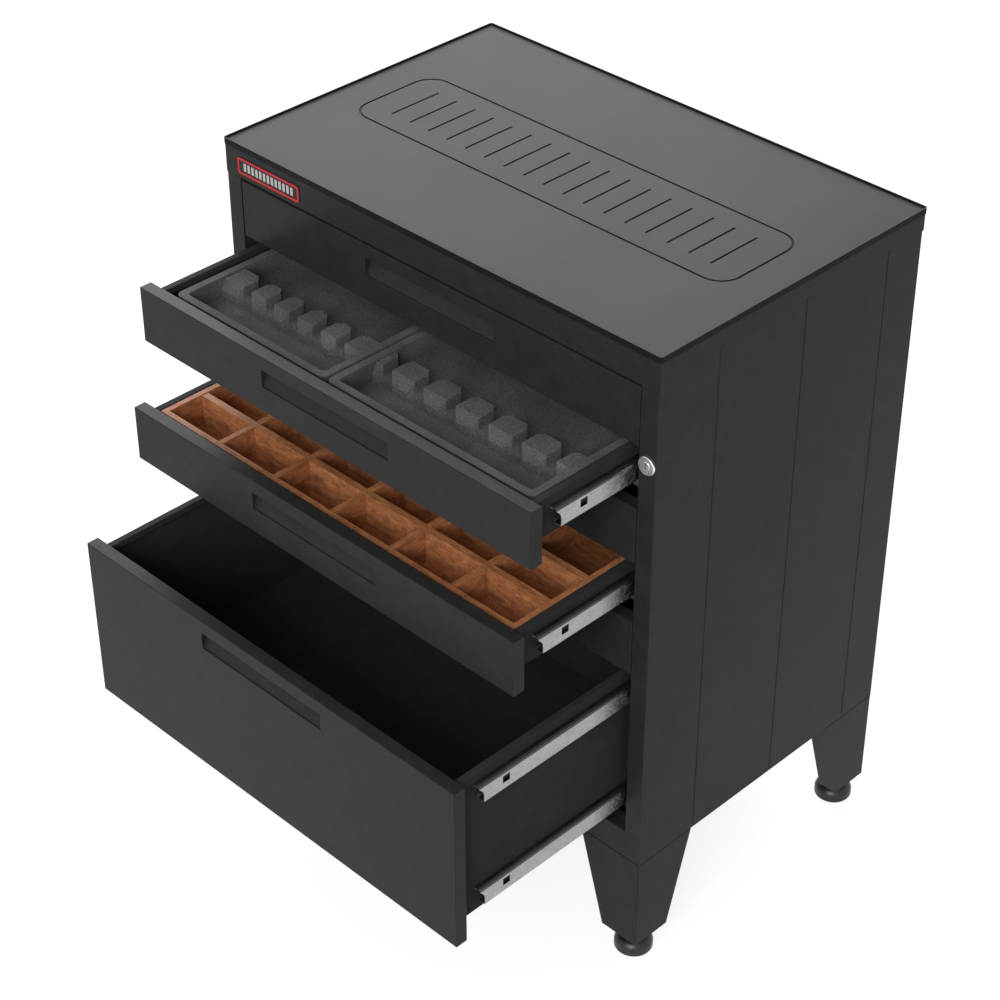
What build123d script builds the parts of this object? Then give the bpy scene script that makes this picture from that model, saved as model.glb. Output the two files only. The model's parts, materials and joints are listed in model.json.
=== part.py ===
from build123d import *
from math import cos, radians, sin
import os

os.makedirs("parts", exist_ok=True)

# Six-drawer tool cabinet on four tapered legs, in millimetres, +Z up.
# X runs across the front, Y runs from the front to the back, Z = 0 is the floor.
# The origin is the middle of the floor that the cabinet covers with its drawers as they stand.

# Overall size
cabinet_width = 700.0
cabinet_depth = 450.0
leg_bottom_z = 33.2
body_bottom_z = 168.2
half_width = cabinet_width / 2

# Sheet thicknesses
cover_sheet = 1.2
panel_sheet = 1.2
leg_sheet = 2.0
drawer_sheet = 1.0
front_sheet = 1.2

# How far each drawer stands open, from the top drawer down, and how far it can come out
open_distances = [0.0, 163.5, 0.0, 189.2, 0.0, 279.8]
travel_share = 0.75

# Drawer fronts: rows of one pitch, and the deep one at the bottom
drawer_pitch = 78.75
deep_rows = 3
drawer_rows = [1, 1, 1, 1, 1, deep_rows]
drawer_gap = 4.25
front_thickness = 16.85
front_side_gap = 2.0
front_edge_radius = 1.0
front_rear_flange = 18.0

# Drawer bodies
slide_space = 12.7
body_top_drop = 5.0
body_bottom_rise = 21.0
body_back_distance = cabinet_depth - 18.0
lip_width = 8.5
lip_hem = 9.0
front_wall_wing = 9.0

# Finger pull pockets
pull_width = 210.0
pull_top_drop = 18.0
pull_height = 23.0
pull_top_depth = 12.0
pull_bottom_depth = 2.5

# Opening in the front of the cabinet, and the heights above its sill
post_width = 25.0
sill_height = 41.0
sill_gap = 6.45
header_gap = 3.8
header_height = 37.4
post_return_depth = 25.0
seam_gap = 0.2
opening_half_width = half_width - post_width
sill_top_z = body_bottom_z + sill_height
first_drawer_top_z = sill_top_z + sill_gap + sum(drawer_rows) * drawer_pitch - drawer_gap
header_bottom_z = first_drawer_top_z + header_gap
cover_top_z = header_bottom_z + header_height
front_half = opening_half_width - front_side_gap
body_half = front_half - slide_space

# Top cover flanges
flange_nose_height = 15.0
flange_nose_length = 12.0
flange_nose_radius = flange_nose_length

# Worktop tray with its upstanding rim, and the mat that lies in it
worktop_overhang = 1.2
worktop_height = 8.2
worktop_sheet = 1.2
worktop_corner_radius = 3.0
mat_sink = 3.0
mat_side_clearance = 0.3
mat_groove_width = 3.0
mat_groove_depth = 1.0
mat_panel_length = cabinet_width - 100.0
mat_panel_width = 140.0
mat_panel_radius = 30.0
mat_bar_count = 17
mat_bar_length = 80.0
mat_bar_pitch = 32.0

# Side panel grooves, measured from the front
first_groove_distance = 97.5
last_groove_distance = cabinet_depth - 62.5
middle_groove_distance = (first_groove_distance + last_groove_distance) / 2
groove_distances = [first_groove_distance, middle_groove_distance, last_groove_distance]
groove_width = 2.4
groove_depth = 0.7
groove_bottom_rise = 5.0
panel_flange = 18.0

# Badge plate on the header
badge_length = 110.0
badge_height = 21.5
badge_thickness = 1.4
badge_rim = 3.0
badge_rim_height = 0.5
badge_left_margin = 23.5
badge_centre_drop = 19.9
badge_corner = 4.0

# Legs and levelling feet
leg_top_width = 94.4
leg_bottom_width = 56.4
leg_return = 27.0
leg_seam = 1.2
leg_top_plate = 3.0
leg_foot_plate = 4.0
leg_foot_plate_rise = 8.0
foot_inset = 26.0
stud_radius = 5.0
stud_top_z = 63.2
stud_bottom_z = 10.0
stud_hole_clearance = 0.5
pad_radius = 24.5
pad_rim_height = 10.0
pad_neck_radius = 10.0
pad_neck_z = 20.0
pad_edge_radius = 3.0
pad_bore_clearance = 0.06
foot_nut_flats = 17.0
foot_nut_height = 6.0
foot_nut_clearance = 0.05

# Slides, 35 mm high with a 26 mm drawer member
slide_front_distance = 43.3
slide_rear_margin = 6.7
slide_length = cabinet_depth - slide_front_distance - slide_rear_margin
drawer_travel = travel_share * slide_length
slide_centre_drop = 30.4
lower_slide_drop = 186.4
slide_sheet = 1.2
cabinet_member_height = 35.0
drawer_member_height = 26.0
drawer_member_depth = 10.5
drawer_member_lip = 6.0
cabinet_member_lip = 2.0
cabinet_member_depth = 9.2
raceway_width = 2.2
raceway_depth = 0.3
raceway_overrun = 1.0
member_hole_distance = 39.2
member_hole_length = 11.0
member_hole_height = 10.0
member_hole_rise = 4.3
member_notch_radius = 16.0
member_notch_depth = 3.4

# Ball cages
ball_radius = 1.9
ball_hole_clearance = 0.1
ball_count = 5
ball_pitch = 18.0
cage_sheet = 0.6
cage_web = 0.5
cage_web_offset = 10.75
cage_strip_start = 5.0
cage_end_margin = 8.0
cage_front_distance = 14.0

# Uprights that carry the slides
upright_width = 30.0
upright_distances = [75.0, cabinet_depth - 45.0]
upright_top_z = cover_top_z - 25.4
upright_flange = 1.2
hook_height = 10.0
hook_width = 2.0
hook_depth = 3.0
hook_clearance = 0.2

# Lock on the right post
lock_x = half_width - 13.6
lock_z = cover_top_z - 134.4
lock_cap_radius = 11.5
lock_cap_thickness = 2.5
lock_body_radius = 8.0
lock_hole_clearance = 0.3
lock_body_length = 23.0
lock_nut_flats = 19.5
lock_nut_height = 4.0
plug_radius = 5.5
plug_clearance = 0.05
plug_proud = 0.5
keyway_width = 1.5
keyway_height = 7.0
keyway_depth = 6.0
cam_thickness = 2.0
cam_radius = 7.6
crank_radius = 5.66
crank_rest_angle = -45.0
crank_pin_radius = 1.5
cam_screw_radius = 3.0
cam_screw_length = 1.6
lock_bar_left = half_width - 22.5
lock_bar_right = half_width - 3.5
lock_bar_thickness = 2.0
lock_bar_distance = 29.0
lock_bar_travel = 8.0
crank_slot_clearance = 0.3
crank_pin_overrun = 1.0
finger_inner_x = body_half - 18.0
finger_height = 11.0
finger_drop = 0.5
catch_rise = 12.5
catch_inset = 8.0
catch_width = 12.0
catch_play = 3.0
catch_thickness = 2.0
guide_gap = 0.3
guide_sheet = 1.2
guide_height = 16.0
guide_overlap = 4.0
guide_rises = [79.0, 309.0, 529.0]
guide_heights_z = [body_bottom_z + rise for rise in guide_rises]

# Drawer 2: two moulded tool trays
tray_left_margin = 18.3
tray_right_margin = 13.3
tray_side_spans = [(tray_left_margin - body_half, -30.0), (-26.0, body_half - tray_right_margin)]
tray_front_distance = 28.0
tray_top_drop = 8.0
tray_back_distance = cabinet_depth - 30.0
tray_rim = 10.0
tray_corner_radius = 9.0
tray_pocket_radius = 6.0
tray_tool_counts = [5, 6]
tray_pocket_length = 51.0
tray_pocket_depth = 26.0
tray_ridge_length = 37.0
tray_ridge_drop = 2.0
tray_ridge_slope = (8.0, 14.0)
tray_notch_width = 15.0
tray_notch_depth = 20.0
tray_notch_flare = 7.0
tray_notch_pitches = [41.0, 51.4]
tray_notch_middles = [-159.0, 131.0]

# Drawer 4: wooden divided tray
wood_half_width = body_half - 9.3
wood_front_distance = 23.0
wood_back_distance = cabinet_depth - 22.0
wood_top_drop = 6.0
wood_board = 7.5
wood_long_divider = 10.0
wood_cross_divider = 8.0
wood_base = 4.0
wood_columns = 6
wood_short_row = 50.0
wood_divider_drop = 1.0

# Back panel screws
screw_head_radius = 4.5
screw_head_height = 2.2
screw_shank_radius = 2.0
screw_shank_length = 8.0
screw_rows = 4
screw_margin = 10.0
screw_row_margin = 42.0
screw_hole_clearance = 0.2

# Leg bolts
bolt_radius = 3.0
bolt_flats = 10.0
bolt_head_height = 4.0
bolt_length = 15.0
bolt_distances = [42.0, 75.0]
bolt_margin = 9.0
bolt_hole_clearance = 0.3

# Places worked out from the sizes above
rearmost = cabinet_depth + worktop_overhang
front_y = (max(open_distances) - rearmost) / 2
back_y = front_y + cabinet_depth
panel_half = half_width - cover_sheet
panel_inner = panel_half - panel_sheet
panel_back_y = back_y - cover_sheet
side_flange_z = header_bottom_z + flange_nose_height
panel_top_z = cover_top_z - cover_sheet
base_z = body_bottom_z + panel_sheet
screw_x = panel_inner - screw_margin
screw_low_z = body_bottom_z + screw_row_margin
screw_pitch_z = (panel_top_z - body_bottom_z - 2 * screw_row_margin) / (screw_rows - 1)
screw_middle_z = (body_bottom_z + panel_top_z) / 2
bolt_x = panel_inner - bolt_margin
bolt_head_z = body_bottom_z - leg_top_plate


def behind_front(distance):
    """Y of a place that lies this far behind the front of the cabinet."""
    return front_y + distance


def block(x_span, y_span, z_span, mode=Mode.ADD):
    """A box between two values on each axis."""
    spans = (x_span, y_span, z_span)
    sizes = [max(span) - min(span) for span in spans]
    with Locations(tuple((span[0] + span[1]) / 2 for span in spans)):
        Box(*sizes, mode=mode)


def back_screw_places():
    """Axes of the back panel's screws, pointing into the cabinet from the back panel's outer face."""
    plane = Plane.XZ.offset(-panel_back_y)
    grid = [(side * screw_x, screw_low_z + row * screw_pitch_z) for side in (-1, 1) for row in range(screw_rows)]
    return Locations(*[plane.location * Location((x, z, 0)) for x, z in grid])


def bolt_places(level):
    """Axes of the leg bolts, two under each corner of the body."""
    rows = [behind_front(distance) for distance in bolt_distances]
    rows += [front_y + panel_back_y - y for y in rows]
    return Locations(*[(side * bolt_x, y, level) for side in (-1, 1) for y in rows])


def save(name, part):
    """Label a finished piece and write it."""
    part.label = name
    export_step(part, f"parts/{name}.step")


# Top cover: a folded pan whose deep front flange is the header
with BuildPart() as top_cover:
    with BuildSketch(Plane.YZ) as side_outline:
        with BuildLine():
            Polyline(
                (front_y, cover_top_z),
                (front_y, header_bottom_z),
                (front_y + flange_nose_length, header_bottom_z),
                (front_y + flange_nose_length, side_flange_z),
                (back_y, side_flange_z),
                (back_y, cover_top_z),
                close=True,
            )
        make_face()
        nose = side_outline.vertices().filter_by(lambda v: abs(v.Y - side_flange_z) < 1e-6).sort_by(Axis.X)[0]
        fillet(nose, flange_nose_radius)
    extrude(amount=half_width, both=True)
    inside = (half_width - cover_sheet, panel_top_z)
    block((-inside[0], inside[0]), (front_y + cover_sheet, back_y - cover_sheet), (0, inside[1]), Mode.SUBTRACT)
    top_edges = top_cover.edges().filter_by_position(Axis.Z, cover_top_z - 1e-3, cover_top_z + 1e-3)
    fillet(top_edges, front_edge_radius)
save("top_cover", top_cover.part)

# Worktop tray: a shallow pan on the cover, and the grooved mat in it, with a pattern of plain bars
worktop_size = (2 * (half_width + worktop_overhang), cabinet_depth + 2 * worktop_overhang)
worktop_middle_y = front_y + cabinet_depth / 2
worktop_top_z = cover_top_z + worktop_height
mat_low_z = cover_top_z + worktop_sheet
mat_top_z = worktop_top_z - mat_sink


def worktop_outline(inset):
    """The worktop's rounded rectangle, smaller by an inset all round."""
    with Locations((0, worktop_middle_y)):
        RectangleRounded(*[size - 2 * inset for size in worktop_size], worktop_corner_radius - inset)


with BuildPart() as worktop_tray:
    with BuildSketch(Plane.XY.offset(cover_top_z)):
        worktop_outline(0)
    extrude(amount=worktop_height)
    with BuildSketch(Plane.XY.offset(mat_low_z)):
        worktop_outline(worktop_sheet)
    extrude(amount=worktop_height, mode=Mode.SUBTRACT)
save("worktop_tray", worktop_tray.part)

with BuildPart() as worktop_mat:
    with BuildSketch(Plane.XY.offset(mat_low_z)):
        worktop_outline(worktop_sheet + mat_side_clearance)
    extrude(amount=mat_top_z - mat_low_z)
    with BuildSketch(Plane.XY.offset(mat_top_z)):
        with Locations((0, worktop_middle_y)):
            RectangleRounded(mat_panel_length, mat_panel_width, mat_panel_radius)
            inner_size = (mat_panel_length - 2 * mat_groove_width, mat_panel_width - 2 * mat_groove_width)
            RectangleRounded(*inner_size, mat_panel_radius - mat_groove_width, mode=Mode.SUBTRACT)
            with GridLocations(mat_bar_pitch, 1, mat_bar_count, 1):
                SlotOverall(mat_bar_length, mat_groove_width, rotation=90)
    extrude(amount=-mat_groove_depth, mode=Mode.SUBTRACT)
save("worktop_mat", worktop_mat.part)

# Badge plate: plain, with a raised rim
badge_x = -half_width + badge_left_margin + badge_length / 2
badge_z = cover_top_z - badge_centre_drop
badge_plane = Plane.XZ.offset(-front_y)
with BuildPart() as badge_plate:
    with BuildSketch(badge_plane):
        with Locations((badge_x, badge_z)):
            RectangleRounded(badge_length, badge_height, badge_corner)
    extrude(amount=badge_thickness)
    with BuildSketch(badge_plane.offset(badge_thickness - badge_rim_height)):
        with Locations((badge_x, badge_z)):
            inner = (badge_length - 2 * badge_rim, badge_height - 2 * badge_rim)
            RectangleRounded(*inner, badge_corner - badge_rim)
    extrude(amount=badge_rim_height, mode=Mode.SUBTRACT)
save("badge_plate", badge_plate.part)


def side_panel(lock_hole):
    """The right side panel with its folded front post, flanges and grooves."""
    with BuildPart() as panel:
        block((panel_inner, panel_half), (front_y, panel_back_y), (body_bottom_z, panel_top_z))
        post_top = header_bottom_z - seam_gap
        block((opening_half_width, panel_half), (front_y, front_y + panel_sheet), (body_bottom_z, post_top))
        return_span = (opening_half_width, opening_half_width + panel_sheet)
        block(return_span, (front_y, behind_front(post_return_depth)), (body_bottom_z, post_top))
        behind_header = (front_y + cover_sheet + seam_gap, front_y + 2 * cover_sheet + seam_gap)
        block((panel_inner - panel_flange, panel_half), behind_header, (post_top, panel_top_z))
        notch = (front_y, front_y + cover_sheet + seam_gap)
        block((opening_half_width, panel_half), notch, (post_top, panel_top_z), Mode.SUBTRACT)
        back_span = (panel_back_y - 2 * panel_sheet, panel_back_y - panel_sheet)
        block((panel_inner - panel_flange, panel_half), back_span, (body_bottom_z, panel_top_z))
        block((panel_inner - panel_flange, panel_half), (front_y + panel_sheet, panel_back_y - panel_sheet),
              (body_bottom_z, body_bottom_z + panel_sheet))
        block((panel_inner - panel_flange, panel_half), (front_y + 2 * cover_sheet + seam_gap, panel_back_y),
              (panel_top_z - panel_sheet, panel_top_z))
        outer_corner = panel.edges().filter_by(Axis.Z).filter_by_position(
            Axis.X, panel_half - 1e-3, panel_half + 1e-3).filter_by_position(
            Axis.Y, front_y - 1e-3, front_y + 1e-3)
        fillet(outer_corner, front_edge_radius)
        groove_span = (body_bottom_z + groove_bottom_rise, panel_top_z)
        with BuildSketch(Plane.XY.offset(groove_span[0])):
            for distance in groove_distances:
                with BuildLine():
                    Polyline(
                        (panel_half, behind_front(distance - groove_width / 2)),
                        (panel_half - groove_depth, behind_front(distance)),
                        (panel_half, behind_front(distance + groove_width / 2)),
                        close=True,
                    )
                make_face()
        extrude(amount=groove_span[1] - groove_span[0], mode=Mode.SUBTRACT)
        with bolt_places(body_bottom_z):
            Cylinder(bolt_radius + bolt_hole_clearance, 4 * panel_sheet, mode=Mode.SUBTRACT)
        with back_screw_places():
            Cylinder(screw_shank_radius + screw_hole_clearance, 6 * panel_sheet, mode=Mode.SUBTRACT)
        if lock_hole:
            with Locations(Plane.XZ.offset(-front_y).location * Location((lock_x, lock_z, 0))):
                Cylinder(lock_body_radius + lock_hole_clearance, 4 * panel_sheet, mode=Mode.SUBTRACT)
    return panel.part


save("side_panel_right", side_panel(True))
save("side_panel_left", mirror(side_panel(False), about=Plane.YZ))

# Back panel, held by the side panels' rear flanges
back_span_y = (panel_back_y - panel_sheet, panel_back_y)
with BuildPart() as back_panel:
    block((-panel_inner, panel_inner), back_span_y, (body_bottom_z, panel_top_z - panel_sheet))
    with back_screw_places():
        Cylinder(screw_shank_radius + screw_hole_clearance, 6 * panel_sheet, mode=Mode.SUBTRACT)
save("back_panel", back_panel.part)

# Base panel: the floor of the cabinet, turned up at its front and back
base_span_x = (-panel_inner + seam_gap, panel_inner - seam_gap)
base_front_y = behind_front(panel_sheet + post_return_depth)
base_back_y = panel_back_y - 2 * panel_sheet - seam_gap
with BuildPart() as base_panel:
    block(base_span_x, (front_y + 2 * panel_sheet + seam_gap, base_back_y), (base_z, base_z + panel_sheet))
    block((-opening_half_width, opening_half_width), (base_back_y - panel_sheet, base_back_y),
          (base_z, base_z + panel_flange))
    for side in (-1, 1):
        post_clear = (side * (opening_half_width - seam_gap), side * panel_half)
        block(post_clear, (front_y, behind_front(post_return_depth + seam_gap)),
              (base_z, base_z + panel_sheet), Mode.SUBTRACT)
        block((side * panel_inner, side * (panel_inner - panel_flange - seam_gap)),
              (base_back_y - panel_sheet, base_back_y), (base_z, base_z + panel_flange), Mode.SUBTRACT)
    with bolt_places(base_z):
        Cylinder(bolt_radius + bolt_hole_clearance, 4 * panel_sheet, mode=Mode.SUBTRACT)
save("base_panel", base_panel.part)

# Front sill: a folded channel between the posts, under the lowest drawer
sill_half = opening_half_width
with BuildPart() as front_sill:
    block((-sill_half, sill_half), (front_y, front_y + panel_sheet), (body_bottom_z, sill_top_z))
    block((-sill_half, sill_half), (front_y, behind_front(post_return_depth)),
          (sill_top_z - panel_sheet, sill_top_z))
    block((-sill_half, sill_half), (front_y, behind_front(post_return_depth)),
          (body_bottom_z, body_bottom_z + panel_sheet))
    lip_y = behind_front(post_return_depth)
    block((-sill_half, sill_half), (lip_y - panel_sheet, lip_y), (sill_top_z - panel_flange, sill_top_z))
    front_top = front_sill.edges().filter_by(Axis.X).filter_by_position(
        Axis.Z, sill_top_z - 1e-3, sill_top_z + 1e-3).sort_by(Axis.Y)[0]
    fillet(front_top, front_edge_radius)
save("front_sill", front_sill.part)


def leg():
    """The front right leg: two tapered plates with slanted returns, a top plate and a foot plate."""
    corner_x = panel_half
    plate_top_z = body_bottom_z - leg_seam
    with BuildPart() as folded_leg:
        for facing_front in (True, False):
            base_plane = Plane.XZ.offset(-front_y) if facing_front else Plane.YZ.offset(corner_x)
            corner = corner_x if facing_front else front_y
            inward = -1 if facing_front else 1
            top = corner + inward * leg_top_width
            bottom = corner + inward * leg_bottom_width
            plate_depth = -leg_sheet
            with BuildSketch(base_plane):
                with BuildLine():
                    Polyline((corner, plate_top_z), (top, plate_top_z), (bottom, leg_bottom_z),
                             (corner, leg_bottom_z), close=True)
                make_face()
            extrude(amount=plate_depth)
            with BuildSketch(base_plane):
                with BuildLine():
                    Polyline((top, plate_top_z), (top - inward * leg_sheet, plate_top_z),
                             (bottom - inward * leg_sheet, leg_bottom_z), (bottom, leg_bottom_z), close=True)
                make_face()
            extrude(amount=-leg_return)
        foot_plate_z = leg_bottom_z + leg_foot_plate_rise
        with BuildSketch(Plane.XY.offset(foot_plate_z)):
            with BuildLine():
                Polyline(
                    (corner_x, front_y),
                    (corner_x, front_y + leg_bottom_width),
                    (corner_x - leg_return, front_y + leg_bottom_width),
                    (corner_x - leg_bottom_width, front_y + leg_return),
                    (corner_x - leg_bottom_width, front_y),
                    close=True,
                )
            make_face()
        extrude(amount=leg_foot_plate)
        block((corner_x - leg_top_width + leg_sheet, corner_x - leg_sheet),
              (front_y + leg_sheet, front_y + leg_top_width - leg_sheet),
              (body_bottom_z - leg_top_plate, body_bottom_z))
        with Locations((corner_x - foot_inset, front_y + foot_inset, foot_plate_z)):
            Cylinder(stud_radius + stud_hole_clearance, 4 * leg_foot_plate, mode=Mode.SUBTRACT)
        with Locations(*[(bolt_x, behind_front(distance), body_bottom_z) for distance in bolt_distances]):
            Cylinder(bolt_radius + bolt_hole_clearance, 4 * leg_top_plate, mode=Mode.SUBTRACT)
        outer_corner = folded_leg.edges().filter_by(Axis.Z).filter_by_position(
            Axis.X, corner_x - 1e-3, corner_x + 1e-3).filter_by_position(Axis.Y, front_y - 1e-3, front_y + 1e-3)
        fillet(outer_corner, front_edge_radius)
    return folded_leg.part


middle_y = (front_y + panel_back_y) / 2
rear_mirror = Plane.XZ.offset(-middle_y)
leg_places = {"front_right": [], "front_left": [Plane.YZ], "rear_right": [rear_mirror],
              "rear_left": [Plane.YZ, rear_mirror]}
foot_x = panel_half - foot_inset
foot_y = front_y + foot_inset
foot_rows = (foot_y, 2 * middle_y - foot_y)
foot_centres = [(x, y) for x in (-foot_x, foot_x) for y in foot_rows]
leg_solid = leg()
for place, planes in leg_places.items():
    placed = leg_solid
    for plane in planes:
        placed = mirror(placed, about=plane)
    save(f"leg_{place}", placed)

# Levelling feet: fixed studs, two nuts on each, and pads that turn on the studs
foot_plate_low = leg_bottom_z + leg_foot_plate_rise
nut_levels = (foot_plate_low - foot_nut_height, foot_plate_low + leg_foot_plate)
with BuildPart() as foot_studs:
    with BuildSketch(Plane.XY.offset(stud_bottom_z)):
        with Locations(*foot_centres):
            Circle(stud_radius)
    extrude(amount=stud_top_z - stud_bottom_z)
    chamfer(foot_studs.faces().sort_by(Axis.Z)[-4:].edges(), stud_radius / 5)
save("foot_studs", foot_studs.part)

with BuildPart() as foot_nuts:
    for level in nut_levels:
        with BuildSketch(Plane.XY.offset(level)):
            with Locations(*foot_centres):
                RegularPolygon(foot_nut_flats / 2, 6, major_radius=False)
                Circle(stud_radius + foot_nut_clearance, mode=Mode.SUBTRACT)
        extrude(amount=foot_nut_height)
save("foot_nuts", foot_nuts.part)


def foot_pad(centre):
    """A round pad with a domed top and a blind bore for its stud."""
    with BuildPart() as pad:
        with BuildSketch(Plane.XZ) as half_section:
            with BuildLine():
                rim_low = Line((0, 0), (pad_radius - pad_edge_radius, 0))
                corner = RadiusArc(rim_low @ 1, (pad_radius, pad_edge_radius), -pad_edge_radius)
                rim = Line(corner @ 1, (pad_radius, pad_rim_height))
                dome = TangentArc(rim @ 1, (pad_neck_radius, pad_neck_z), tangent=(-0.25, 1))
                Polyline(dome @ 1, (0, pad_neck_z), (0, 0))
            make_face()
        revolve(axis=Axis.Z)
        with Locations((0, 0, pad_neck_z)):
            bore_depth = pad_neck_z - stud_bottom_z + pad_bore_clearance
            Hole(stud_radius + pad_bore_clearance, bore_depth)
    return pad.part.moved(Location((*centre, 0)))


for centre in foot_centres:
    side = "left" if centre[0] < 0 else "right"
    end = "front" if centre[1] < middle_y else "rear"
    save(f"foot_pad_{end}_{side}", foot_pad(centre))


def drawer_rows_above(index):
    """How many pitches lie above a drawer's front."""
    return sum(drawer_rows[:index])


def drawer_top_z(index):
    return first_drawer_top_z - drawer_rows_above(index) * drawer_pitch


def drawer_front_height(index):
    return drawer_rows[index] * drawer_pitch - drawer_gap


def slide_levels(index):
    """Heights of a drawer's slide pairs: the deep drawer has a lower pair too."""
    levels = [drawer_top_z(index) - slide_centre_drop]
    if drawer_rows[index] == deep_rows:
        levels.append(drawer_top_z(index) - lower_slide_drop)
    return levels


def cabinet_slide_section(level):
    """Section of the cabinet's slide member on the right: a channel that opens to the drawer."""
    outer = front_half
    half = cabinet_member_height / 2
    with Locations((outer - slide_sheet / 2, level)):
        Rectangle(slide_sheet, cabinet_member_height)
    for side in (-1, 1):
        with Locations((outer - cabinet_member_depth / 2, level + side * (half - slide_sheet / 2))):
            Rectangle(cabinet_member_depth, slide_sheet)
        lip_x = outer - cabinet_member_depth + slide_sheet / 2
        with Locations((lip_x, level + side * (half - (slide_sheet + cabinet_member_lip) / 2))):
            Rectangle(slide_sheet, slide_sheet + cabinet_member_lip)
    race_x = body_half + cage_ball_offset
    with Locations((race_x, level)):
        Rectangle(raceway_width, cabinet_member_height - 2 * slide_sheet + 2 * raceway_depth,
                  mode=Mode.SUBTRACT)


def drawer_slide_section(level):
    """Section of the drawer's slide member on the right: a channel with its web outwards."""
    inner = body_half
    web_x = inner + drawer_member_depth - slide_sheet / 2
    half = drawer_member_height / 2
    with Locations((web_x, level)):
        Rectangle(slide_sheet, drawer_member_height)
    for side in (-1, 1):
        with Locations((inner + drawer_member_depth / 2, level + side * (half - slide_sheet / 2))):
            Rectangle(drawer_member_depth, slide_sheet)
        with Locations((inner + slide_sheet / 2, level + side * (half - (slide_sheet + drawer_member_lip) / 2))):
            Rectangle(slide_sheet, slide_sheet + drawer_member_lip)


# Balls run half way between the two members' flanges
cage_ball_offset = (cage_strip_start + cage_web_offset) / 2
ball_level = (cabinet_member_height / 2 - slide_sheet + drawer_member_height / 2) / 2
slide_front_y = behind_front(slide_front_distance)

# Cabinet members of all the slides, hooked into the uprights
with BuildPart() as cabinet_slides:
    for index in range(len(drawer_rows)):
        for level in slide_levels(index):
            with BuildSketch(Plane.XZ.offset(-slide_front_y)):
                cabinet_slide_section(level)
            extrude(amount=-slide_length)
            for distance in upright_distances:
                block((front_half, front_half + hook_depth),
                      (behind_front(distance) - hook_width / 2, behind_front(distance) + hook_width / 2),
                      (level - hook_height / 2, level + hook_height / 2))
    mirror(about=Plane.YZ)
save("cabinet_slides", cabinet_slides.part)

# Uprights: upright hat channels on the side panels, slotted for the slides' hooks
with BuildPart() as slide_uprights:
    upright_low = base_z + panel_sheet
    for distance in upright_distances:
        span_y = (behind_front(distance) - upright_width / 2, behind_front(distance) + upright_width / 2)
        block((front_half, panel_inner), span_y, (upright_low, upright_top_z))
        inner_y = (span_y[0] + upright_flange, span_y[1] - upright_flange)
        block((front_half + upright_flange, panel_inner), inner_y, (upright_low, upright_top_z),
              Mode.SUBTRACT)
        slot_half = (hook_width / 2 + hook_clearance, hook_height / 2 + hook_clearance)
        for index in range(len(drawer_rows)):
            for level in slide_levels(index):
                block((front_half, front_half + upright_flange),
                      (behind_front(distance) - slot_half[0], behind_front(distance) + slot_half[0]),
                      (level - slot_half[1], level + slot_half[1]), Mode.SUBTRACT)
    mirror(about=Plane.YZ)
save("slide_uprights", slide_uprights.part)


def drawer_front(index):
    """A folded box front with a finger pull pocket whose floor slopes up to the lower edge."""
    top = drawer_top_z(index)
    bottom = top - drawer_front_height(index)
    face_y = front_y - open_distances[index]
    rear_y = face_y + front_thickness
    with BuildPart() as front:
        block((-front_half, front_half), (face_y, rear_y), (bottom, top))
        outer = front.edges().filter_by_position(Axis.Y, face_y - 1e-3, face_y + 1e-3)
        fillet(outer, front_edge_radius)
        flange_y = rear_y - front_sheet
        block((-front_half + front_sheet, front_half - front_sheet), (face_y + front_sheet, flange_y),
              (bottom + front_sheet, top - front_sheet), Mode.SUBTRACT)
        window_half = front_half - front_rear_flange
        block((-window_half, window_half), (flange_y, rear_y),
              (bottom + front_rear_flange, top - front_rear_flange), Mode.SUBTRACT)
        pull_top = top - pull_top_drop
        pull_low = pull_top - pull_height
        skin = front_sheet
        for grow, depth_grow, mode in ((skin, skin, Mode.ADD), (0.0, 0.0, Mode.SUBTRACT)):
            start_y = face_y + (front_sheet / 2 if mode == Mode.ADD else -front_sheet)
            with BuildSketch(Plane.YZ):
                with BuildLine():
                    Polyline(
                        (start_y, pull_top + grow),
                        (face_y + pull_top_depth + depth_grow, pull_top + grow),
                        (face_y + pull_bottom_depth + depth_grow, pull_low - grow),
                        (start_y, pull_low - grow),
                        close=True,
                    )
                make_face()
            extrude(amount=pull_width / 2 + grow, both=True, mode=mode)
    return front.part


def drawer_body(index):
    """A drawer pan with folded top lips, a wide front wall and a catch tab for the lock bar."""
    top = drawer_top_z(index) - body_top_drop
    front_bottom = drawer_top_z(index) - drawer_front_height(index)
    bottom = front_bottom + body_bottom_rise
    shift = -open_distances[index]
    start_y = behind_front(front_thickness) + shift
    end_y = behind_front(body_back_distance) + shift
    with BuildPart() as pan:
        block((-body_half, body_half), (start_y, end_y), (bottom, bottom + drawer_sheet))
        wall_half = body_half + front_wall_wing
        block((-wall_half, wall_half), (start_y, start_y + drawer_sheet), (bottom, top))
        block((-body_half, body_half), (end_y - drawer_sheet, end_y), (bottom, top))
        for side in (-1, 1):
            block((side * (body_half - drawer_sheet), side * body_half), (start_y, end_y), (bottom, top))
            block((side * (body_half - lip_width), side * body_half), (start_y, end_y), (top - drawer_sheet, top))
            block((side * (body_half - lip_width), side * (body_half - lip_width + drawer_sheet)),
                  (start_y, end_y), (top - lip_hem, top))
        catch_y = behind_front(lock_bar_distance + lock_bar_thickness + catch_play) + shift
        catch_outer = body_half - catch_inset
        block((catch_outer - catch_width, catch_outer), (catch_y, catch_y + catch_thickness),
              (front_bottom + catch_rise, bottom + drawer_sheet))
    return pan.part


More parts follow.
